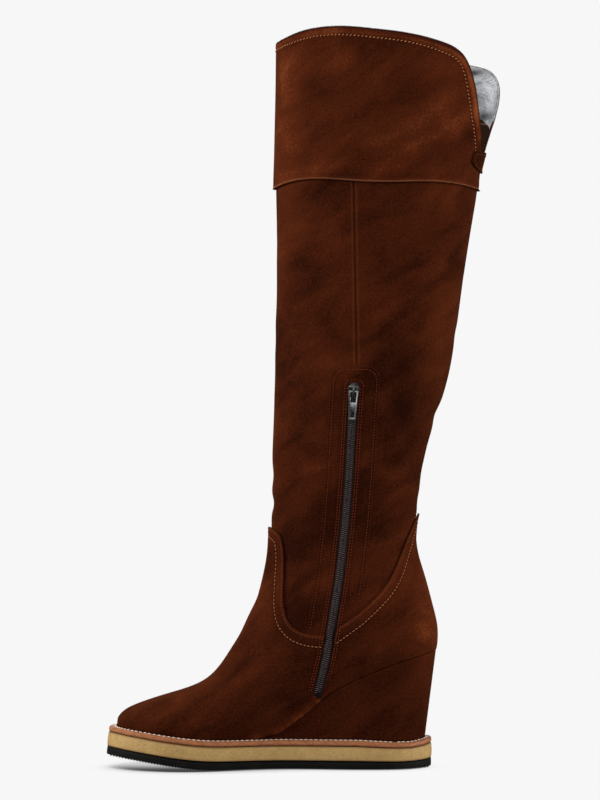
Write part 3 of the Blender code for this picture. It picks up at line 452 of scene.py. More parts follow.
# Plainer finishes: noises with their shares, the roughness and how much the first noise adds to it
edgeValues = {"noises": [((1600.0, 3, 0.6), 1.0)], "rough": (0.8, 0.1), "relief": 0.12 * mm, "shine": 0.05}
edgeShades = {
    "cutEdge": (srgb(52, 23, 11), srgb(92, 46, 25)), "rolledEdge": (srgb(70, 31, 15), srgb(112, 56, 32)),
    "seamStrip": (srgb(38, 19, 10), srgb(84, 44, 24)), "bindingBrown": (srgb(62, 38, 28), srgb(112, 78, 60)),
}
threadValues = {"noises": [((2600.0, 2, 0.5), 1.0)], "rough": (0.62, 0.1), "relief": 0.08 * mm, "shine": 0.08}
threadShades = {
    "pale": (srgb(152, 90, 54), srgb(206, 140, 96)), "bright": (srgb(160, 92, 54), srgb(220, 150, 102)),
    "brown": (srgb(94, 39, 20), srgb(142, 65, 35)), "faint": (srgb(66, 27, 13), srgb(98, 43, 22)),
    "white": (srgb(220, 204, 184), srgb(254, 246, 234)), "grey": (srgb(58, 54, 54), srgb(104, 100, 100)),
}
weltValues = {
    "noises": [((900.0, 4, 0.62), 0.6), ((150.0, 3, 0.5, 0.0, (1, 1, 0.2)), 0.4)], "rough": (0.5, 0.2),
    "rim": srgb(104, 60, 34), "rimShare": 0.4, "relief": 0.12 * mm, "shine": 0.25,
}
weltShades = (srgb(142, 84, 50), srgb(192, 124, 82))
coilValues = {
    "noises": [((420.0, 3, 0.6), 1.0)], "rough": (0.2, 0.2), "relief": 0.05 * mm, "shine": 0.6,
    # painted shade on the coil where it runs into the slider and lies behind the pull
    "paintedShadeUnderSlider": srgb(14, 12, 12), "paintedShadeShare": 0.85, "paintedShadeFrom": (0.2555, 0.2580),  # where the slider rests
}
coilShades = (srgb(46, 37, 38), srgb(92, 82, 88))
# The steel's rim colour is a painted highlight on its edges
steelValues = {
    "noises": [((900.0, 3, 0.6, 0.0, (1, 1, 8)), 0.4), ((160.0, 3, 0.6), 0.6)], "rough": (0.2, 0.15),
    "rim": srgb(212, 211, 210), "rimShare": 1.0, "metal": 1.0, "relief": 0.04 * mm, "shine": 0.5,
}
# The slider's copy of the steel is darker, painted shade; the pull's copy is lighter, painted light
steelShades = {
    "shadedSliderSteel": (srgb(26, 25, 25), srgb(66, 65, 65)), "litPullSteel": (srgb(62, 61, 61), srgb(136, 135, 135)),
}


def grainLook(name, v, shades):
    look = Look(name)
    noises = [look.noise(*setting) for setting, share in v["noises"]]
    tone = sum(each * share for each, (setting, share) in zip(noises, v["noises"]))
    colour = look.mix(tone.step(0.3, 0.7), *shades)
    if "rim" in v:
        colour = look.stained(colour, "rim", v["rim"], v["rimShare"])
    if "paintedShadeUnderSlider" in v:
        # painted shade on the coil under the slider
        colour = look.mix(look.axis("Z").step(*v["paintedShadeFrom"]) * v["paintedShadeShare"], colour, v["paintedShadeUnderSlider"])
    rough = noises[0] * v["rough"][1] + v["rough"][0]
    return look.worn(v, colour, rough, noises[0], metal=v.get("metal", 0.0))


# The second number lightens or darkens a copy of the suede: painted light on the cuff, painted shade on the wedge
# cover and the back tab
suede = suedeLook("suede")
suedeShaft = suedeLook("suedeShaft", -0.02, shaftSeam)
litSuedeCuff = suedeLook("litSuedeCuff", 0.06)
shadedSuedeWedge = suedeLook("shadedSuedeWedge", -0.11, mottle=0.55)
shadedSuedeTab = suedeLook("shadedSuedeTab", -0.26)
lining = liningLook("silverLining")
crepe = crepeLook("crepe")
weltTan = grainLook("weltTan", weltValues, weltShades)
rubber = rubberLook("treadRubber")
elastic = elasticLook("elastic")
tape = tapeLook("zipTape")
coil = grainLook("zipCoil", coilValues, coilShades)
edge = {name: grainLook(name, edgeValues, shades) for name, shades in edgeShades.items()}
steel = {name: grainLook(name, steelValues, shades) for name, shades in steelShades.items()}
thread = {name: grainLook(name + "Thread", threadValues, shades) for name, shades in threadShades.items()}
print("finishes made")


def groupsOf(work, sharpAngle):
    # the smooth sides of a wall, largest first
    groups, seen = [], set()
    for face in work.faces:
        if face in seen:
            continue
        group, waiting = set(), [face]
        seen.add(face)
        while waiting:
            current = waiting.pop()
            group.add(current)
            for edge in current.edges:
                if len(edge.link_faces) != 2 or edge.calc_face_angle(0) > sharpAngle:
                    continue
                for other in edge.link_faces:
                    if other not in seen:
                        seen.add(other)
                        waiting.append(other)
        groups.append(group)
    return sorted(groups, key=lambda g: -sum(f.calc_area() for f in g))


def bordersOf(group):
    # closed runs of points with their outward directions, with the surface on their left;
    # taken in the order of the faces, so that every run of this script begins its rows at the same points
    following = {}
    for face in sorted(group, key=lambda f: f.index):
        for loop in face.loops:
            if loop.link_loop_radial_next.face not in group:
                following[loop.vert] = (loop.link_loop_next.vert, face.normal.copy())
    runs = []
    while following:
        spot = next(iter(following))
        run = []
        while spot in following:
            after, normal = following.pop(spot)
            run.append((np.array(spot.co), np.array(normal)))
            spot = after
        if len(run) > 3:
            runs.append((np.array([r[0] for r in run]), np.array([r[1] for r in run])))
    return runs


def dressWall(obj, sharpDegrees=50):
    # gives the outside, the inside and the cut edges their materials; returns the borders of both sides
    work = bmesh.new()
    work.from_mesh(obj.data)
    work.normal_update()
    groups = groupsOf(work, math.radians(sharpDegrees))
    last = len(obj.data.materials) - 1
    for number, group in enumerate(groups):
        for face in group:
            face.material_index = min(number, last)
    result = bordersOf(groups[0]), bordersOf(groups[1])
    work.to_mesh(obj.data)
    work.free()
    return result


def smoothWall(obj, levels, hold, sharpDegrees=50):
    pick(obj)
    bpy.ops.object.mode_set(mode="EDIT")
    bpy.ops.mesh.select_mode(type="EDGE")
    bpy.ops.mesh.select_all(action="DESELECT")
    bpy.ops.mesh.edges_select_sharp(sharpness=math.radians(sharpDegrees))
    bpy.ops.transform.edge_crease(value=hold)
    leaveEdit()
    applyModifier(obj, "SUBSURF", levels=levels, render_levels=levels)


legAxis = {  # height, and the middle of the leg's front-to-back depth there
    "z": [0.08, 0.10, 0.168, 0.22, 0.30, 0.40, 0.45, 0.55],
    "y": [0.036, 0.034, 0.029, 0.033, 0.044, 0.052, 0.056, 0.065],
}
zipLine = {  # height, and the zip's middle
    "z": [0.048, 0.0527, 0.0848, 0.1129, 0.1414, 0.181, 0.215, 0.2585, 0.290, 0.320],
    "y": [0.00822, 0.00962, 0.01742, 0.02202, 0.02662, 0.03102, 0.03372, 0.03612, 0.03792, 0.03862],
}


def zipMiddle(z):
    return np.interp(z, zipLine["z"], zipLine["y"])


def ramp(value, start, over):
    # from 0 at the start to 1 after the given stretch
    return np.clip((value - start) / over, 0, 1)


# Soft folds: turn in degrees from the front towards the zip side, height, half length along and half width
# across, tilt in degrees from level, and depth (a trough when negative), all in millimetres
folds = [
    (62, 402, 34, 8, 14, -1.3), (118, 392, 30, 9, -12, -1.6), (128, 348, 36, 10, -20, -1.5),
    (150, 318, 30, 8, 10, -1.5), (112, 300, 30, 10, -24, -1.2), (30, 330, 34, 11, 18, -1.1),
    (20, 222, 30, 9, 12, -1.3), (140, 226, 30, 9, -8, -1.5), (172, 262, 34, 9, 6, -1.5),
    (8, 196, 26, 7, -6, -1.2), (52, 148, 20, 8, 26, -0.9), (160, 196, 22, 7, 8, -1.1),
    (130, 470, 30, 10, 30, -1.1), (136, 240, 26, 6, -58, 1.1), (132, 262, 24, 8, -50, -1.2),
    (112, 372, 34, 8, 28, -1.1), (125, 425, 34, 7, 16, 0.9), (96, 448, 30, 8, 4, 0.6),
    (-40, 400, 36, 10, -12, -1.5), (-95, 360, 40, 11, 16, -1.5), (-130, 310, 34, 9, -10, -1.6),
    (-70, 270, 38, 11, 20, -1.3), (-110, 222, 34, 9, -14, -1.5), (-30, 190, 28, 8, 10, -1.3),
    (-80, 500, 40, 12, 12, -1.2), (-156, 523.5, 22, 4.5, -8, 0.9), (-162, 489, 16, 4.5, 14, 0.8),
]
# The general unevenness of worn leather, which fades out towards the sole
slump = {"size": 26.0, "depth": 0.75 * mm, "fadeLow": 0.10, "fadeHigh": 0.15}
# How far the leather stands out at the back and at the front of the leg, in millimetres, by height
fullness = {
    "z": [0.170, 0.200, 0.250, 0.280, 0.330, 0.365, 0.425, 0.434, 0.446, 0.470, 0.495, 0.530, 0.545],
    "back": [0.0, 1.5, 1.3, 1.9, 1.8, 1.1, 1.7, 1.4, -0.3, 0.2, 1.6, 1.6, 0.6],
    "front": [0.0, 0.0, 0.6, 1.3, 1.2, 0.4, 0.0, 0.0, 0.0, 0.0, 0.0, 0.0, 0.0],
    "notchLow": 0.475, "notchWide": 0.016,
}
# Beside the zip the leather lies flat as high as this
flatByZip = {"high": 0.30, "from": 5 * mm, "over": 12 * mm}


def foldField(spots):
    # outward shift of each point of the leg, and its direction
    x, y, z = spots.T
    middle = np.interp(z, legAxis["z"], legAxis["y"])
    away = np.column_stack([x, y - middle])
    radius = np.linalg.norm(away, axis=1)
    turn = np.degrees(np.arctan2(x, middle - y))
    shift = np.zeros(len(spots))
    for at, height, long, wide, tilt, depth in folds:
        around = np.radians((turn - at + 180) % 360 - 180) * radius
        up = z - height * mm
        lean = math.radians(tilt)
        along = (around * math.cos(lean) + up * math.sin(lean)) / (long * mm)
        across = ((up * math.cos(lean) - around * math.sin(lean)) / (wide * mm)) ** 2
        shift += depth * mm * (1 - 0.75 * across) * np.exp(-across - along ** 2)
    shift += np.array([noise.noise(Vector(p) * slump["size"]) for p in spots]) * slump["depth"]
    rise = ramp(z, slump["fadeLow"], slump["fadeHigh"] - slump["fadeLow"])
    clear = ramp(np.abs(y - zipMiddle(z)), flatByZip["from"], flatByZip["over"])
    byZip = np.where((x > 0) & (z < flatByZip["high"]), clear, 1)
    shift *= rise * byZip * byZip * (3 - 2 * byZip)
    for side, facing in (("back", -1), ("front", 1)):
        amount = np.interp(z, fullness["z"], fullness[side]) * mm
        if side == "back":
            # beside the notch only the far flap stands out
            amount *= np.where(z > fullness["notchLow"], np.clip(0.5 - x / fullness["notchWide"], 0, 1), 1)
        shift += amount * np.clip(facing * np.cos(np.radians(turn)), 0, 1) ** 2
    return shift, away / radius[:, None]


def foldSkin(obj):
    spots = spotsOf(obj)
    shift, direction = foldField(spots)
    spots[:, :2] += direction * shift[:, None]
    setSpots(obj, spots)


# The zip's slot: how far its lips close at the foot, and how far its round top comes down over the tape
slot = {
    "reach": 7 * mm, "lips": 1.3 * mm, "closeFrom": 0.064, "closeOver": 10 * mm,
    "foot": 0.0495, "footOver": 3 * mm,
    "topZ": [0.276, 0.285, 0.292, 0.304], "topDrop": [0.0, 2.2, 2.2, 0.0],
}


def pinchSlot(obj):
    spots = spotsOf(obj)
    x, y, z = spots.T
    away = y - zipMiddle(z)
    low = ramp(-z, -slot["closeFrom"], slot["closeOver"])
    reach = np.exp(-((np.abs(away) / slot["reach"]) ** 4)) * ramp(z, slot["foot"], slot["footOver"])
    spots[:, 1] -= np.sign(away) * np.minimum(low * slot["lips"], np.abs(away) * 0.8) * reach * (x > 0)
    setSpots(obj, spots)


def lowerSlotTop(obj):
    spots = spotsOf(obj)
    x, y, z = spots.T
    drop = np.interp(z, slot["topZ"], slot["topDrop"]) * mm
    spots[:, 2] -= drop * np.exp(-((np.abs(y - zipMiddle(z)) / slot["reach"]) ** 4)) * (x > 0)
    setSpots(obj, spots)


# Cuff: the hem skived at the back of the leg, the near side's top edge, and where the notch has no lining
cuffShape = {
    "hemThin": 1.5 * mm, "hemY": [0.092, 0.112], "hemZ": [0.438, 0.462],
    "topY": [-0.015, 0.0, 0.080, 0.108, 0.118, 0.130], "topLift": [0.0, 0.7, 0.7, 1.6, 1.4, 0.4],
    "topFrom": 0.50, "topOver": 0.03, "bareBelow": 0.484,
}


def bareNotchSides(obj):
    # the sides of the notch are plain suede below the lining
    for face in obj.data.polygons:
        if face.material_index == 2 and face.center.z < cuffShape["bareBelow"]:
            face.material_index = 3


def thinHem(obj):
    # only the outer face moves
    outer = np.zeros(len(obj.data.vertices), dtype=bool)
    for face in obj.data.polygons:
        if face.material_index == 0:
            outer[list(face.vertices)] = True
    spots = spotsOf(obj)
    behind = np.interp(spots[:, 1], cuffShape["hemY"], [0.0, 1.0])
    low = np.interp(spots[:, 2], cuffShape["hemZ"], [1.0, 0.0])
    spots -= spotsOf(obj, "normal") * (outer * behind * low * cuffShape["hemThin"])[:, None]
    setSpots(obj, spots)


def liftTop(obj):
    spots = spotsOf(obj)
    x, y, z = spots.T
    lift = np.interp(y, cuffShape["topY"], cuffShape["topLift"]) * mm
    spots[:, 2] += lift * ramp(z, cuffShape["topFrom"], cuffShape["topOver"]) * (x > 0)
    setSpots(obj, spots)


gussetShape = {"level": 0.1365, "slope": 0.9, "up": 3 * mm, "down": 4 * mm, "from": 0.466, "over": 10 * mm}


def dipGusset(obj):
    # the elastic's top edge dips towards the middle of the back
    v, spots = gussetShape, spotsOf(obj)
    dip = np.clip((spots[:, 1] - v["level"]) * v["slope"], -v["up"], v["down"])
    spots[:, 2] -= dip * ramp(spots[:, 2], v["from"], v["over"])
    setSpots(obj, spots)


tabShape = {"press": 0.9 * mm, "lift": 0.6 * mm, "pointLift": 1.6 * mm, "point": 8 * mm}


def sinkTab(obj):
    # pressed flat against the cuff, with its point drawn up a little
    v, spots = tabShape, spotsOf(obj)
    up = spots[:, 2] - spots[:, 2].min()
    spots[:, 2] += v["lift"] + np.clip(1 - up / v["point"], 0, 1) * v["pointLift"]
    spots[:, 1] -= v["press"]
    setSpots(obj, spots)


# Painted light and shade on the near side of the leg, lighter where the light falls and darker where it does not,
# partly rubbed-up nap: y, z and reach along y and z in millimetres, and how much
paintedLightZones = [
    (-12, 500, 14, 55, 0.4), (101, 502, 22, 45, 0.34), (35, 466, 45, 24, -0.04),
    (60, 478, 34, 28, 0.34), (60, 530, 60, 12, 0.14), (40, 444, 110, 5, 0.18),
    (-12, 405, 13, 32, 0.2), (20, 385, 14, 20, -0.12), (86, 405, 24, 30, 0.26),
    (118, 400, 12, 50, 0.16), (72, 318, 26, 30, -0.18), (74, 370, 24, 36, -0.16),
    (70, 282, 26, 36, -0.26), (74, 250, 20, 22, -0.16), (100, 335, 12, 60, 0.12),
    (33, 240, 13, 60, -0.14), (-2, 320, 20, 60, -0.14), (-10, 150, 16, 30, -0.36),
    (60, 158, 20, 26, -0.16), (-10, 62, 36, 22, -0.14), (-34, 128, 12, 30, 0.26),
    (94, 112, 14, 34, 0.27), (55, 100, 20, 20, -0.1), (-54, 56, 46, 24, -0.42),
    (-118, 40, 22, 14, -0.3), (60, 50, 50, 22, 0.1),
]
# Painted shade on the lining, where the near flap shades it and its creases look dark, in the same way
liningShadeZones = [
    (129, 522.8, 12.5, 3.6, 0.95), (138, 488, 9, 4, 0.8), (130, 503, 7, 15, 0.62),
    (76, 511, 24, 2.8, 0.34), (30, 517, 22, 2.6, 0.3), (56, 488, 26, 3.2, 0.3),
]


def markZones(obj, name, zones, side):
    # soft round zones of painted light and shade on one side of the leg
    x, y, z = spotsOf(obj).T
    much = np.zeros(len(x))
    for atY, atZ, alongY, alongZ, share in zones:
        much += share * np.exp(-(((y - atY * mm) / (alongY * mm)) ** 2) - ((z - atZ * mm) / (alongZ * mm)) ** 2)
    paintMark(obj, name, much * np.clip((x * side + 12 * mm) / (30 * mm), 0, 1))


def markNear(obj, name, points, width, depth, much):
    # an attribute that falls away from the given points, and a shallow press along them
    finder = finderOf(points)
    spots = spotsOf(obj)
    near = np.array([finder.find(p)[2] for p in spots])
    value = np.exp(-((near / width) ** 2))
    before = np.zeros(len(spots))
    if name in obj.data.attributes:
        obj.data.attributes[name].data.foreach_get("value", before)
    paintMark(obj, name, np.maximum(before, value * much))
    if depth:
        setSpots(obj, spots - spotsOf(obj, "normal") * (value * depth)[:, None])


# node, name, levels of smoothing, and the finishes of the outside, the inside and the cut edges
walls = (
    ("upper", "footSuede", 2, (suede, lining, edge["cutEdge"])),
    ("shaft", "shaftSuede", 2, (suedeShaft, lining, edge["cutEdge"])),
    ("cuff", "cuffSuede", 3, (litSuedeCuff, lining, lining, edge["cutEdge"])),
    ("back_tab", "backTab", 2, (shadedSuedeTab, lining, edge["cutEdge"])),
    ("back_gusset", "gussetElastic", 2, (elastic, elastic)),
)
shapedFirst = {"upper": [pinchSlot], "shaft": [lowerSlotTop]}
shapedLast = {"back_tab": [sinkTab], "back_gusset": [dipGusset], "cuff": [thinHem, liftTop]}
wall, borders = {}, {}
for node, name, levels, looks in walls:
    skin = copyOf(node, name, *looks)
    borders[node] = dressWall(skin)
    if node == "cuff":
        bareNotchSides(skin)
    smoothWall(skin, levels, 0.92)
    for shape in [*shapedFirst.get(node, []), foldSkin, *shapedLast.get(node, [])]:
        shape(skin)
    markZones(skin, "paintedLightShade", paintedLightZones, 1)
    wall[node] = skin
markZones(wall["cuff"], "paintedLiningShade", liningShadeZones, -1)
wedgeSkin = copyOf("wedge", "wedgeCover", shadedSuedeWedge)
smoothWall(wedgeSkin, 3, 1.0, 45)
markZones(wedgeSkin, "paintedLightShade", paintedLightZones, 1)
print("walls smoothed and folded")

feather = {"reach": 10 * mm, "over": 5 * mm, "thin": 0.85, "sideTo": 0.03}


def featherFront(obj, base):
    # the cover runs out thin in front of its block, under the edge of the upper
    v, spots = feather, spotsOf(obj)
    front = spots[:, 1].min() + v["over"]
    share = ramp(-spots[:, 1], -front, v["over"]) ** 2
    ground = spots[spots[:, 1] < front][:, 2].min()
    for side in (-1, 1):
        line = base[(base[:, 0] * side > 0) & (base[:, 1] < v["sideTo"])]
        line = line[np.argsort(line[:, 1])]
        onSide = (spots[:, 0] * side > 0) & (share > 0)
        wanted = np.interp(spots[onSide, 1] - v["reach"] * share[onSide], line[:, 1], line[:, 0])
        spots[onSide, 0] += wanted - np.interp(spots[onSide, 1], line[:, 1], line[:, 0])
    spots[:, 2] = ground + (spots[:, 2] - ground) * (1 - v["thin"] * share)
    spots[:, 1] -= v["reach"] * share
    setSpots(obj, spots)


footBase = min(borders["upper"][0], key=lambda run: run[0][:, 2].mean())[0]
featherFront(wedgeSkin, footBase)
legTree = treeOf(wall["upper"], wall["shaft"], wall["cuff"], wall["back_tab"], side=0)


def resampled(points, pitch):
    # evenly spaced points along a row
    lengths = np.append(0, np.cumsum(np.linalg.norm(np.diff(points, axis=0), axis=1)))
    count = max(2, int(lengths[-1] / pitch) + 1)
    wanted = np.linspace(0, lengths[-1], count)
    return np.column_stack([np.interp(wanted, lengths, points[:, k]) for k in range(3)])


def softened(points, rounds, closed):
    for _ in range(rounds):
        if closed:
            points = (np.roll(points, 1, 0) + 2 * points + np.roll(points, -1, 0)) / 4
        else:
            inner = (points[:-2] + 2 * points[1:-1] + points[2:]) / 4
            points = np.concatenate([points[:1], inner, points[-1:]])
    return points


def besideBorder(run, inset, keepPoint, tree, rounds=6):
    # open rows at a distance inside a border, where keepPoint allows; the distance may follow the place
    points, normals = run
    ring = resampled(np.concatenate([points, points[:1]]), 1.0 * mm)[:-1]
    finder = finderOf(points)
    outward = np.array([normals[finder.find(p)[1]] for p in ring])
    ring = softened(ring, rounds, True)
    outward = softened(outward, rounds, True)
    inward = np.cross(outward, np.roll(ring, -2, 0) - np.roll(ring, 2, 0))
    inward /= np.linalg.norm(inward, axis=1, keepdims=True)
    kept = np.array([bool(keepPoint(p)) for p in ring])
    if not kept.any():
        return []
    moved = ring + inward * (np.array([inset(p) for p in ring])[:, None] if callable(inset) else inset)
    first = 0 if kept.all() else int(np.argmax(~kept))
    rows, row = [], []
    for k in np.roll(np.arange(len(ring)), -first):
        if kept[k]:
            row.append(tree.find_nearest(Vector(moved[k]))[0])
        elif row:
            rows.append(row)
            row = []
    if row:
        rows.append(row + ([row[0]] if kept.all() else []))
    return [softened(np.array(r), 2, False) for r in rows if len(r) > 4]


def sideRow(points):
    # a row drawn from the side, laid on whatever is outermost there
    hits = [fromZipSide(legTree, y, z)[0] for y, z in points]
    return np.array([hit for hit in hits if hit])


# A stitch dips into the leather at both ends
stitchRings = [(-1.0, 0.4, -0.5), (-0.6, 0.9, 0.0), (0.6, 0.9, 0.0), (1.0, 0.4, -0.5)]
# Millimetres, and the slant in radians
stitches = {
    "foot": {"pitch": 2.9, "long": 1.9, "thick": 0.56, "lift": 0.12},
    "fine": {"pitch": 2.2, "long": 1.15, "thick": 0.60, "lift": 0.12},
    "cuff": {"pitch": 2.9, "long": 1.7, "thick": 0.78, "lift": 0.14, "slant": 0.5},
    "hem": {"pitch": 1.7, "long": 1.15, "thick": 0.46, "lift": 0.12, "slant": 0.9},
    "lining": {"pitch": 2.1, "long": 1.15, "thick": 0.42, "lift": 0.08, "slant": 1.1},
    "welt": {"pitch": 3.7, "long": 2.8, "thick": 0.9, "lift": 0.12},
}


def sew(name, rows, kind, look, tree, slotName="suede"):
    v = stitches[kind]
    scale = (v["long"] * mm / 2, v["thick"] * mm / 2, v["thick"] * mm / 2)
    base = drawnBead(stitchRings)
    places = []
    for row in rows:
        spots = resampled(row, v["pitch"] * mm / 4)
        for k in range(2, len(spots) - 2, 4):
            along = Vector(spots[k + 1] - spots[k - 1])
            spot, normal = tree.find_nearest(Vector(spots[k]))[:2]
            if "slant" in v:
                along = Matrix.Rotation(v["slant"], 3, normal) @ along
            places.append(turnedTo(spot + normal * v["lift"] * mm, along, normal, scale))
    made = joined(name, base, places, look)
    discard(base)
    return keep(made, slotName)


footTop = {"above": 0.096, "slotHalf": 6.2 * mm, "slotTop": 0.295}


def onFootTop(p):
    bySlot = p[0] > 0.0 and abs(p[1] - zipMiddle(p[2])) < footTop["slotHalf"] and p[2] < footTop["slotTop"]
    return not bySlot and p[2] > footTop["above"]


def above(height):
    return lambda p: p[2] > height


def runToZip(row):
    # carries both ends of a row on to the edge of the zip where they stop short of it
    row = list(row)
    for _ in range(2):
        row = row[::-1]
        end, before = np.array(row[-1]), np.array(row[-6])
        if end[0] < 0 or abs(end[1] - zipMiddle(end[2])) > 20 * mm:
            continue
        step = (end - before) / np.linalg.norm(end - before) * mm
        for _ in range(14):
            if abs(end[1] - zipMiddle(end[2])) < 5.2 * mm:
                break
            end = np.array(legTree.find_nearest(Vector(end + step))[0])
            row.append(end)
    return np.array(row)


# How far each row lies inside its edge; a table where the distance changes, in millimetres
seams = {
    "footEdge": 0.4 * mm, "footInner": 1.5 * mm,
    "footOuter": {"y": [-0.03, -0.005, 0.02, 0.045, 0.13], "away": [6.6, 8.2, 8.6, 7.4, 6.2]},
    "cuffTop": {"z": [0.50, 0.53], "away": [8.0, 6.0]}, "cuffTopLow": 0.452,
    "cuffEdge": 0.5 * mm, "cuffHem": 1.0 * mm, "cuffRidge": 3.4 * mm, "ink": 0.1 * mm,
    "lining": 3.2 * mm, "liningLow": 0.485, "tab": 1.8 * mm, "gusset": 0.5 * mm, "gussetLow": 0.4740,
}


def footSeamAway(p):
    return float(np.interp(p[1], seams["footOuter"]["y"], seams["footOuter"]["away"])) * mm


def cuffSeamAway(p):
    return float(np.interp(p[2], seams["cuffTop"]["z"], seams["cuffTop"]["away"])) * mm


footEdge = max(borders["upper"][0], key=lambda run: run[0][:, 2].max())
cuffRuns = sorted(borders["cuff"][0], key=lambda run: run[0][:, 2].mean())
cuffInner = sorted(borders["cuff"][1], key=lambda run: run[0][:, 2].mean())
cuffTree = treeOf(wall["cuff"], side=0)
liningTree = treeOf(wall["cuff"], side=1)
footEdgeRows = besideBorder(footEdge, seams["footEdge"], onFootTop, legTree)
footInnerRows = [runToZip(row) for row in besideBorder(footEdge, seams["footInner"], onFootTop, legTree, 8)]
footOuterRows = [runToZip(row) for row in besideBorder(footEdge, footSeamAway, onFootTop, legTree, 16)]
cuffTopRows = besideBorder(cuffRuns[-1], cuffSeamAway, above(seams["cuffTopLow"]), cuffTree, 10)
cuffLowRows = besideBorder(cuffRuns[0], seams["cuffEdge"], above(0), cuffTree)
liningRows = besideBorder(cuffInner[-1], seams["lining"], above(seams["liningLow"]), liningTree, 10)

# The zip's surround: lines beside the slot, a round-shouldered top and a small arch over the slider
surround = {
    "away": 15.2 * mm, "behind": 1.5 * mm, "wider": 1.9 * mm, "corner": 9 * mm, "top": 0.2965,
    "low": 0.1045, "lowBehind": 0.124, "inner": [4.9 * mm, 6.7 * mm], "innerLow": (0.058, 0.066), "innerTop": 0.2835,
    "archAt": 0.288, "archBase": 0.283, "archWide": 7.2 * mm, "archTall": 6.2 * mm,
}


def zipRow(away, low, high):
    return [(float(zipMiddle(z) + away), float(z)) for z in np.linspace(low, high, 120)]


def surroundRow(wider):
    away, top, corner = surround["away"] + wider, surround["top"] + wider, surround["corner"]
    rows = []
    for side, reach, low in ((-1, away, surround["low"]), (1, away + surround["behind"], surround["lowBehind"])):
        middle = zipMiddle(top) + side * (reach - corner)
        rows.append(zipRow(side * reach, low, top - corner) + [
            (float(middle + side * corner * math.cos(a)), float(top - corner * (1 - math.sin(a))))
            for a in np.linspace(0, math.pi / 2, 8)
        ])
    return rows[0] + rows[1][::-1]


surroundLine = sideRow(surroundRow(0.0))
surroundOuter = sideRow(surroundRow(surround["wider"]))
archLine = sideRow([
    (float(zipMiddle(surround["archAt"]) + surround["archWide"] * math.sin(a)),
     float(surround["archBase"] + surround["archTall"] * math.cos(a)))
    for a in np.linspace(-1.5, 1.5, 24)
])
zipRows = [
    sideRow(zipRow(side * away, surround["innerLow"][side > 0], surround["innerTop"]))
    for side in (-1, 1) for away in surround["inner"]
]
print("rows laid out")

# The upper bulges where it is folded over the platform, and so does the cuff inside its top seam; both bulges are
# also painted lighter, a painted highlight
foldedSeam = footBase[(footBase[:, 0] > 0) & (footBase[:, 1] > -0.045) & (footBase[:, 1] < 0.012)]
raisedTop = besideBorder(cuffRuns[-1], seams["cuffRidge"], above(0.47), cuffTree, 10)
inkedTop = besideBorder(cuffRuns[-1], seams["ink"], above(0.44), cuffTree, 2)
inkedLining = besideBorder(cuffInner[-1], seams["ink"], above(0.49), liningTree, 2)
# Millimetres of reach and depth, and how strong the mark is
for node, mark, rows, width, depth, much in (
    ("upper", "press", footOuterRows, 1.5, 0.30, 1.0),
    ("upper", "press", footInnerRows, 1.2, 0.25, 1.0),
    ("upper", "press", zipRows, 1.4, 0.20, 1.0),
    ("shaft", "press", zipRows, 1.6, 0.20, 1.0),
    ("shaft", "press", [surroundLine], 1.7, 0.30, 1.0),
    ("cuff", "press", cuffTopRows, 1.5, 0.30, 1.0),
    ("upper", "edge", footEdgeRows, 1.6, 0.0, 1.0),
    ("cuff", "edge", cuffLowRows, 1.3, 0.0, 1.0),
    ("cuff", "ink", inkedTop, 1.0, 0.0, 1.0),
    ("cuff", "ink", inkedLining, 0.5, 0.0, 1.0),
    ("upper", "paintedLightShade", [foldedSeam], 5.0, -0.7, 0.8),
    ("cuff", "paintedLightShade", raisedTop, 3.0, -0.35, 0.75),
):
    markNear(wall[node], mark, np.concatenate(rows), width * mm, depth * mm, much)

legTree = treeOf(wall["upper"], wall["shaft"], wall["cuff"], wall["back_tab"], side=0)
cuffTree = treeOf(wall["cuff"], side=0)
tabTree = treeOf(wall["back_tab"])
hemRows = besideBorder(cuffRuns[0], seams["cuffHem"], above(0), cuffTree)
tabRows = besideBorder(borders["back_tab"][0][0], seams["tab"], above(0), tabTree)
for name, rows, kind, shade, tree in (
    ("footPale", footOuterRows, "foot", "pale", legTree),
    ("footBrown", footInnerRows, "fine", "brown", legTree),
    ("zipSide", zipRows, "fine", "brown", legTree),
    ("zipSurround", [surroundLine, archLine], "fine", "brown", legTree),
    ("zipOuter", [surroundOuter], "fine", "faint", legTree),
    ("cuff", cuffTopRows, "cuff", "bright", cuffTree),
    ("cuffSeam", hemRows, "hem", "pale", cuffTree),
    ("lining", liningRows, "lining", "grey", liningTree),
    ("tab", tabRows, "fine", "brown", tabTree),
):
    sew(name + "Stitches", rows, kind, thread[shade], tree, "insole" if name == "lining" else "suede")
for node, skin in wall.items():
    keep(skin, "elastic" if node == "back_gusset" else "suede", replaced=(node,))
keep(wedgeSkin, "suede", replaced=("wedge",))
print("walls sewn")


def rollAlong(name, rows, radius, look, slotName):
    # a thin round edging along rows
    curve = bpy.data.curves.new(name, "CURVE")
    curve.dimensions = "3D"
    curve.bevel_depth = radius
    curve.bevel_resolution = 1
    curve.use_fill_caps = True
    for row in rows:
        points = resampled(row, 2.0 * mm)
        spline = curve.splines.new("POLY")
        spline.points.add(len(points) - 1)
        for point, spot in zip(spline.points, points):
            point.co = (*spot, 1)
    pick(linked(name, curve))
    bpy.ops.object.convert(target="MESH")
    made = bpy.context.object
    made.data.materials.clear()
    made.data.materials.append(look.mat)
    return keep(made, slotName)


# The back seam is a narrow strip that wanders a little from side to side
backSeam = {
    "z": [0.205, 0.270, 0.285, 0.325, 0.340, 0.430], "x": [-5.0, -2.0, 1.2, 1.2, -2.0, -5.0],
    "low": 0.196, "high": 0.4395, "sunk": 0.25 * mm,
}
edging = {"cuff": 0.30 * mm, "backSeam": 0.9 * mm, "gusset": 0.7 * mm}

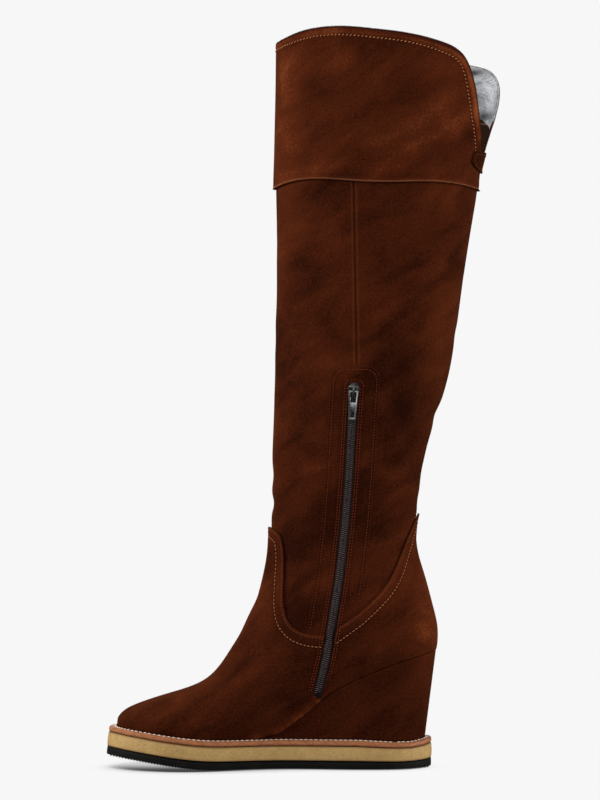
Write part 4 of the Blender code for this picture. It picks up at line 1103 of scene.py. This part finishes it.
rollAlong("cuffRolledEdge", cuffLowRows, edging["cuff"], edge["rolledEdge"], "suede")
seamLine = []
for z in np.linspace(backSeam["low"], backSeam["high"], 90):
    across = float(np.interp(z, backSeam["z"], backSeam["x"])) * mm
    hit = legTree.ray_cast(Vector((across, 0.2, float(z))), Vector((0, -1, 0)))[0]
    seamLine.append(hit + Vector((0, -backSeam["sunk"], 0)))
rollAlong("backSeamStrip", [np.array(seamLine)], edging["backSeam"], edge["seamStrip"], "suede")
gussetRows = besideBorder(
    borders["back_gusset"][0][0], seams["gusset"], above(seams["gussetLow"]), treeOf(wall["back_gusset"]), 2
)
rollAlong("gussetBinding", gussetRows, edging["gusset"], edge["bindingBrown"], "elastic")

springRise = {  # how far the toe end lifts off the floor
    "y": [-0.1469, -0.1372, -0.1222, -0.0992, -0.0772, -0.0632],
    "z": [0.0106, 0.0095, 0.0076, 0.0041, 0.001, 0.0],
}
# The platform's toe end settles below its spring line and leans forward at its foot
settle = {
    "y": [-0.1469, -0.1427, -0.1370, -0.1220, -0.0997, -0.0800], "drop": [1.6, 1.3, 0.9, 0.6, 0.3, 0.0],
    "over": 20 * mm, "leanY": [-0.147, -0.132], "leanAbout": 8 * mm,
}
# Its top lies a little lower before the heel's end, which turns up
heelLine = {
    "y": [0.040, 0.068, 0.080, 0.090, 0.0945], "drop": [0.0, 1.7, 1.9, 0.6, -0.5],
    "full": 0.0217, "none": 0.045, "over": 20 * mm,
}


def springAt(y):
    return np.interp(y, springRise["y"], springRise["z"])


def settleHeel(obj):
    v, spots = heelLine, spotsOf(obj)
    height = spots[:, 2]
    share = ramp(height, 0, v["full"]) * ramp(-height, -v["none"], v["over"])
    spots[:, 2] -= np.interp(spots[:, 1], v["y"], v["drop"]) * mm * share
    setSpots(obj, spots)


def settleToe(obj, ceiling=1.0, lean=0.12):
    v, spots = settle, spotsOf(obj)
    spots[:, 2] -= np.interp(spots[:, 1], v["y"], v["drop"]) * mm * ramp(-spots[:, 2], -ceiling, v["over"])
    near = np.interp(spots[:, 1], v["leanY"], [1.0, 0.0])
    spots[:, 1] += near * (spots[:, 2] - springAt(spots[:, 1]) - v["leanAbout"]) * lean
    setSpots(obj, spots)


# Each layer's height at the heel, which its darkened rims follow; the rims fade over this reach
layers = {"midsole": (0.0067, 0.0173), "welt": (0.0176, 0.0217), "rimReach": 0.9 * mm}
layer = {}
for node, name, look, slotName, hold in (
    ("midsole", "crepePlatform", crepe, "crepe", 0.85), ("welt", "weltStrip", weltTan, "welt", 0.7),
):
    made = copyOf(node, name, look)
    smoothWall(made, 2, hold, 35)
    spots = spotsOf(made)
    level = spots[:, 2] - springAt(spots[:, 1])
    toEdge = np.minimum(*(np.abs(level - base) for base in layers[node]))
    paintMark(made, "rim", np.exp(-((toEdge / layers["rimReach"]) ** 2)))
    settleToe(made)
    settleHeel(made)
    layer[node] = keep(made, slotName, replaced=(node,))
settleToe(wall["upper"], 0.055, 0)
settleHeel(wedgeSkin)

# Stitches on the welt, close to the foot and the wedge
weltLine = {
    "level": 0.0195, "around": 420, "far": 0.1, "front": 0.032, "back": 0.03,
    "over": 1.2 * mm, "start": 10 * mm, "away": 1.5 * mm,
}


def outlineOf(node, height):
    # points round a flat piece at a height, with the directions inwards to its spine
    tree = treeOf(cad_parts[node])
    low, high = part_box(node)
    front, back = low.y + weltLine["front"], high.y - weltLine["back"]
    spots = []
    for start, end, side in ((back, front, 1), (front, back, -1)):
        # along one side, then half way round the end
        for t in np.arange(0, 2, 4 / weltLine["around"]):
            a = math.pi / 2 - max(t - 1, 0) * math.pi
            direction = Vector((-math.sin(a), math.cos(a), 0)) * side
            origin = Vector((0, start + (end - start) * min(t, 1), 0)) - direction * weltLine["far"]
            origin.z = height + float(springAt(origin.y))
            hit = tree.ray_cast(origin, direction)[0]
            if hit:
                spots.append((hit, direction))
    return spots


blockTree = treeOf(wall["upper"], wedgeSkin)
weltTree = treeOf(layer["welt"])
weltRow = []
for spot, direction in outlineOf("welt", weltLine["level"]):
    level = layers["welt"][1] + float(springAt(spot.y)) + weltLine["over"]
    start = Vector((spot.x, spot.y, level)) - direction * weltLine["start"]
    reach = blockTree.ray_cast(start, direction)[0]
    if not reach:
        continue
    reach = reach - direction * weltLine["away"]
    hit = weltTree.ray_cast(Vector((reach.x, reach.y, level + 0.01)), Vector((0, 0, -1)))[0]
    if hit:
        weltRow.append(hit)
weltRow = softened(np.array(weltRow + weltRow[:1]), 6, False)
sew("weltStitches", [weltRow], "welt", thread["white"], weltTree, "welt")

# The plate's underside lies inside the cross bars of its tread
tread = {
    "pitch": 2.2 * mm, "wide": 1.3 * mm, "tall": 0.7 * mm, "inset": 0.5 * mm,
    "plateUp": 0.85, "under": 0.4 * mm, "gap": 0.02 * mm,
    "front": 4 * mm, "back": 3 * mm, "level": 1.2 * mm, "shortest": 6 * mm,
}
treadPlate = copyOf("outsole", "treadPlate", rubber)
spots = spotsOf(treadPlate)
underside = spots[:, 2] - springAt(spots[:, 1]) < tread["under"]
spots[:, 2] += np.where(underside, tread["tall"] * tread["plateUp"], 0)
setSpots(treadPlate, spots)
smoothWall(treadPlate, 2, 0.9, 35)
settleToe(treadPlate)
settleHeel(treadPlate)
keep(treadPlate, "rubber", replaced=("outsole",))

# A bar is flat below and on top, with sloping sides and slightly drawn-in ends
barRings = [(-0.5, 0.46, 0.05), (-0.49, 0.577, 0.0), (0.49, 0.577, 0.0), (0.5, 0.46, 0.05)]
barBase = drawnBead(barRings)
outsoleTree = treeOf(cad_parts["outsole"])
low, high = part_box("outsole")
places = []
y = low.y + tread["front"]
while y < high.y - tread["back"]:
    level = float(springAt(y))
    ends = []
    for side in (1, -1):
        hit = outsoleTree.ray_cast(Vector((side * 0.1, y, level + tread["level"])), Vector((-side, 0, 0)))[0]
        ends.append(hit.x - side * tread["inset"] if hit else 0)
    long = ends[0] - ends[1]
    if long > tread["shortest"]:
        middle = Vector((sum(ends) / 2, y, level + tread["tall"] / 2 + tread["gap"]))
        places.append(Matrix.Translation(middle) @ Matrix.Diagonal((long, tread["wide"], tread["tall"], 1)))
    y += tread["pitch"]
treadBars = keep(joined("treadBars", barBase, places, rubber), "rubber")
settleToe(treadBars)
discard(barBase)
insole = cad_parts["insole"]
insole.data.materials.clear()
insole.data.materials.append(lining.mat)
print("platform made")

# The tape's foot runs on down to the end of the slot
tapeFoot = {"from": 0.068, "over": 12 * mm, "longer": 3.6 * mm, "beside": 9 * mm}
zipTape = copyOf("zip", "zipTape", tape)
spots = spotsOf(zipTape)
lower = spots[:, 2] - ramp(-spots[:, 2], -tapeFoot["from"], tapeFoot["over"]) * tapeFoot["longer"]
for k, (spot, z) in enumerate(zip(spots, lower)):
    if z < spot[2]:
        y = spot[1] + zipMiddle(z) - zipMiddle(spot[2])
        before, after = (
            fromZipSide(legTree, at - tapeFoot["beside"], level)[0].x for at, level in ((spot[1], spot[2]), (y, z))
        )
        spots[k] = (spot[0] + after - before, y, z)
setSpots(zipTape, spots)
keep(zipTape, "tape", replaced=("zip",))

coilShape = {
    "pitch": 1.55 * mm, "long": 2.0 * mm, "thick": 0.72 * mm, "away": 1.2 * mm, "lift": 0.25 * mm,
    "low": 0.0575, "high": 0.2760, "lean": -0.12,
}
# A tooth has a wider head towards the middle of the zip
toothRings = [(-1.0, 0.6, -0.2), (-0.4, 0.75, 0.0), (0.35, 0.85, 0.1), (0.75, 1.1, 0.1), (1.0, 0.7, -0.1)]
zipTree = treeOf(zipTape)
toothBase = drawnBead(toothRings)
toothScale = (coilShape["long"] / 2, coilShape["thick"] / 2, coilShape["thick"] / 2)
places = []
for side in (-1, 1):
    z = coilShape["low"] + (coilShape["pitch"] / 2 if side > 0 else 0)
    while z < coilShape["high"]:
        hit, normal = fromZipSide(zipTree, float(zipMiddle(z)) + side * coilShape["away"], z)
        if hit:
            across = Vector((0, -side, coilShape["lean"]))
            across -= normal * across.dot(normal)
            places.append(turnedTo(hit + normal * coilShape["lift"], across, normal, toothScale))
        z += coilShape["pitch"]
keep(joined("zipCoil", toothBase, places, coil), "tape")
discard(toothBase)

metal = {"round": 0.2 * mm, "roundFrom": 40, "smoothTo": 35, "rimFrom": 0.97, "rimOver": 0.2}
for node, name, body in (("zip_slider", "sliderBody", "boot"), ("zip_pull", "sliderPull", "pull")):
    made = copyOf(node, name, steel["litPullSteel" if body == "pull" else "shadedSliderSteel"])
    roundFrom = math.radians(metal["roundFrom"])
    applyModifier(made, "BEVEL", width=metal["round"], segments=2, limit_method="ANGLE", angle_limit=roundFrom)
    # edges that turn away from the zip side get the rim colour, a painted highlight
    facing = np.abs(spotsOf(made, "normal")[:, 0])
    paintMark(made, "rim", np.clip((metal["rimFrom"] - facing) / metal["rimOver"], 0, 1))
    pick(made)
    bpy.ops.object.shade_smooth_by_angle(angle=math.radians(metal["smoothTo"]))
    keep(made, "steel", body, (node,))
print("zip made")

studio = {
    "paper": 0.93, "ambient": 0.20, "paintedShadowDarkest": 0.06, "floorRadius": 7.0, "aim": (0, 0, 0.27),
    "camera": (2.4, -0.00218, 0.274), "lens": 144.0, "sensor": 36,
    "lights": [
        ("toeSide", (0.35, -1.7, 0.85), 1.0, 26.0),
        ("heelSide", (0.30, 1.7, 0.55), 1.0, 22.0),
        ("frontFill", (2.3, -0.5, 1.2), 1.6, 20.0),
        ("topBox", (-0.2, 0.0, 2.2), 1.2, 10.0),
        ("farSide", (-1.9, -0.4, 0.9), 1.4, 20.0),
    ],
}


def studioPaper():
    look = Look("paper")
    for old in list(look.tree.nodes):
        if old.type == "BSDF_PRINCIPLED":
            look.tree.nodes.remove(old)
    camera = look.node("ShaderNodeLightPath", {}, {}, "Is Camera Ray")
    # the floor only glows; its shadow is painted into the glow from occlusion, falling towards the zip side, away
    # from the main light, and strongest at the toe
    sockets = {"Distance": 0.042, "Normal": (-0.72, 0.30, 0.62)}
    clear = look.node("ShaderNodeAmbientOcclusion", {"samples": 16}, sockets, "AO").step(0.1, 0.86)
    nearSide = look.axis("X").step(-0.015, 0.03) * 0.65 + 0.35
    toeward = 1 - look.axis("Y").step(-0.075, 0.02) * 0.6
    clear = 1 - (1 - clear) * nearSide * toeward
    seen = (clear * (studio["paper"] - studio["paintedShadowDarkest"]) + studio["paintedShadowDarkest"]) * camera
    strength = seen + (1 - camera) * studio["ambient"]
    glow = look.node("ShaderNodeEmission", {}, {"Color": (1, 1, 1, 1), "Strength": strength})
    look.join(glow, look.tree.nodes["Material Output"].inputs["Surface"])
    return look


bpy.ops.object.select_all(action="DESELECT")
bpy.ops.mesh.primitive_circle_add(
    vertices=96, radius=studio["floorRadius"], fill_type="NGON", location=(0, 0, -0.2 * mm)
)
floor = bpy.context.object
floor.name = "studioFloor"
floor.data.materials.append(studioPaper().mat)

# The background is paper white to the camera and dimmer as a light
world = bpy.data.worlds.new("studio")
bpy.context.scene.world = world
world.use_nodes = True
nodes, links = world.node_tree.nodes, world.node_tree.links
backdrop = nodes["Background"]
level = nodes.new("ShaderNodeMapRange")
level.inputs["To Min"].default_value = studio["ambient"]
level.inputs["To Max"].default_value = studio["paper"]
links.new(nodes.new("ShaderNodeLightPath").outputs["Is Camera Ray"], level.inputs["Value"])
links.new(level.outputs[0], backdrop.inputs["Strength"])
backdrop.inputs["Color"].default_value = (1, 1, 1, 1)

for name, spot, size, power in studio["lights"]:
    light = bpy.data.lights.new(name, "AREA")
    light.shape = "SQUARE"
    light.size = size
    light.energy = power
    lamp = linked(name, light)
    lamp.location = spot
    lamp.rotation_euler = (Vector(studio["aim"]) - Vector(spot)).to_track_quat("-Z", "Y").to_euler()

camera = bpy.data.cameras.new("sideCamera")
camera.lens = studio["lens"]
camera.sensor_width = studio["sensor"]
shot = linked("sideCamera", camera)
shot.location = studio["camera"]
shot.rotation_euler = (math.pi / 2, 0, math.pi / 2)
bpy.context.scene.camera = shot
print("studio made")
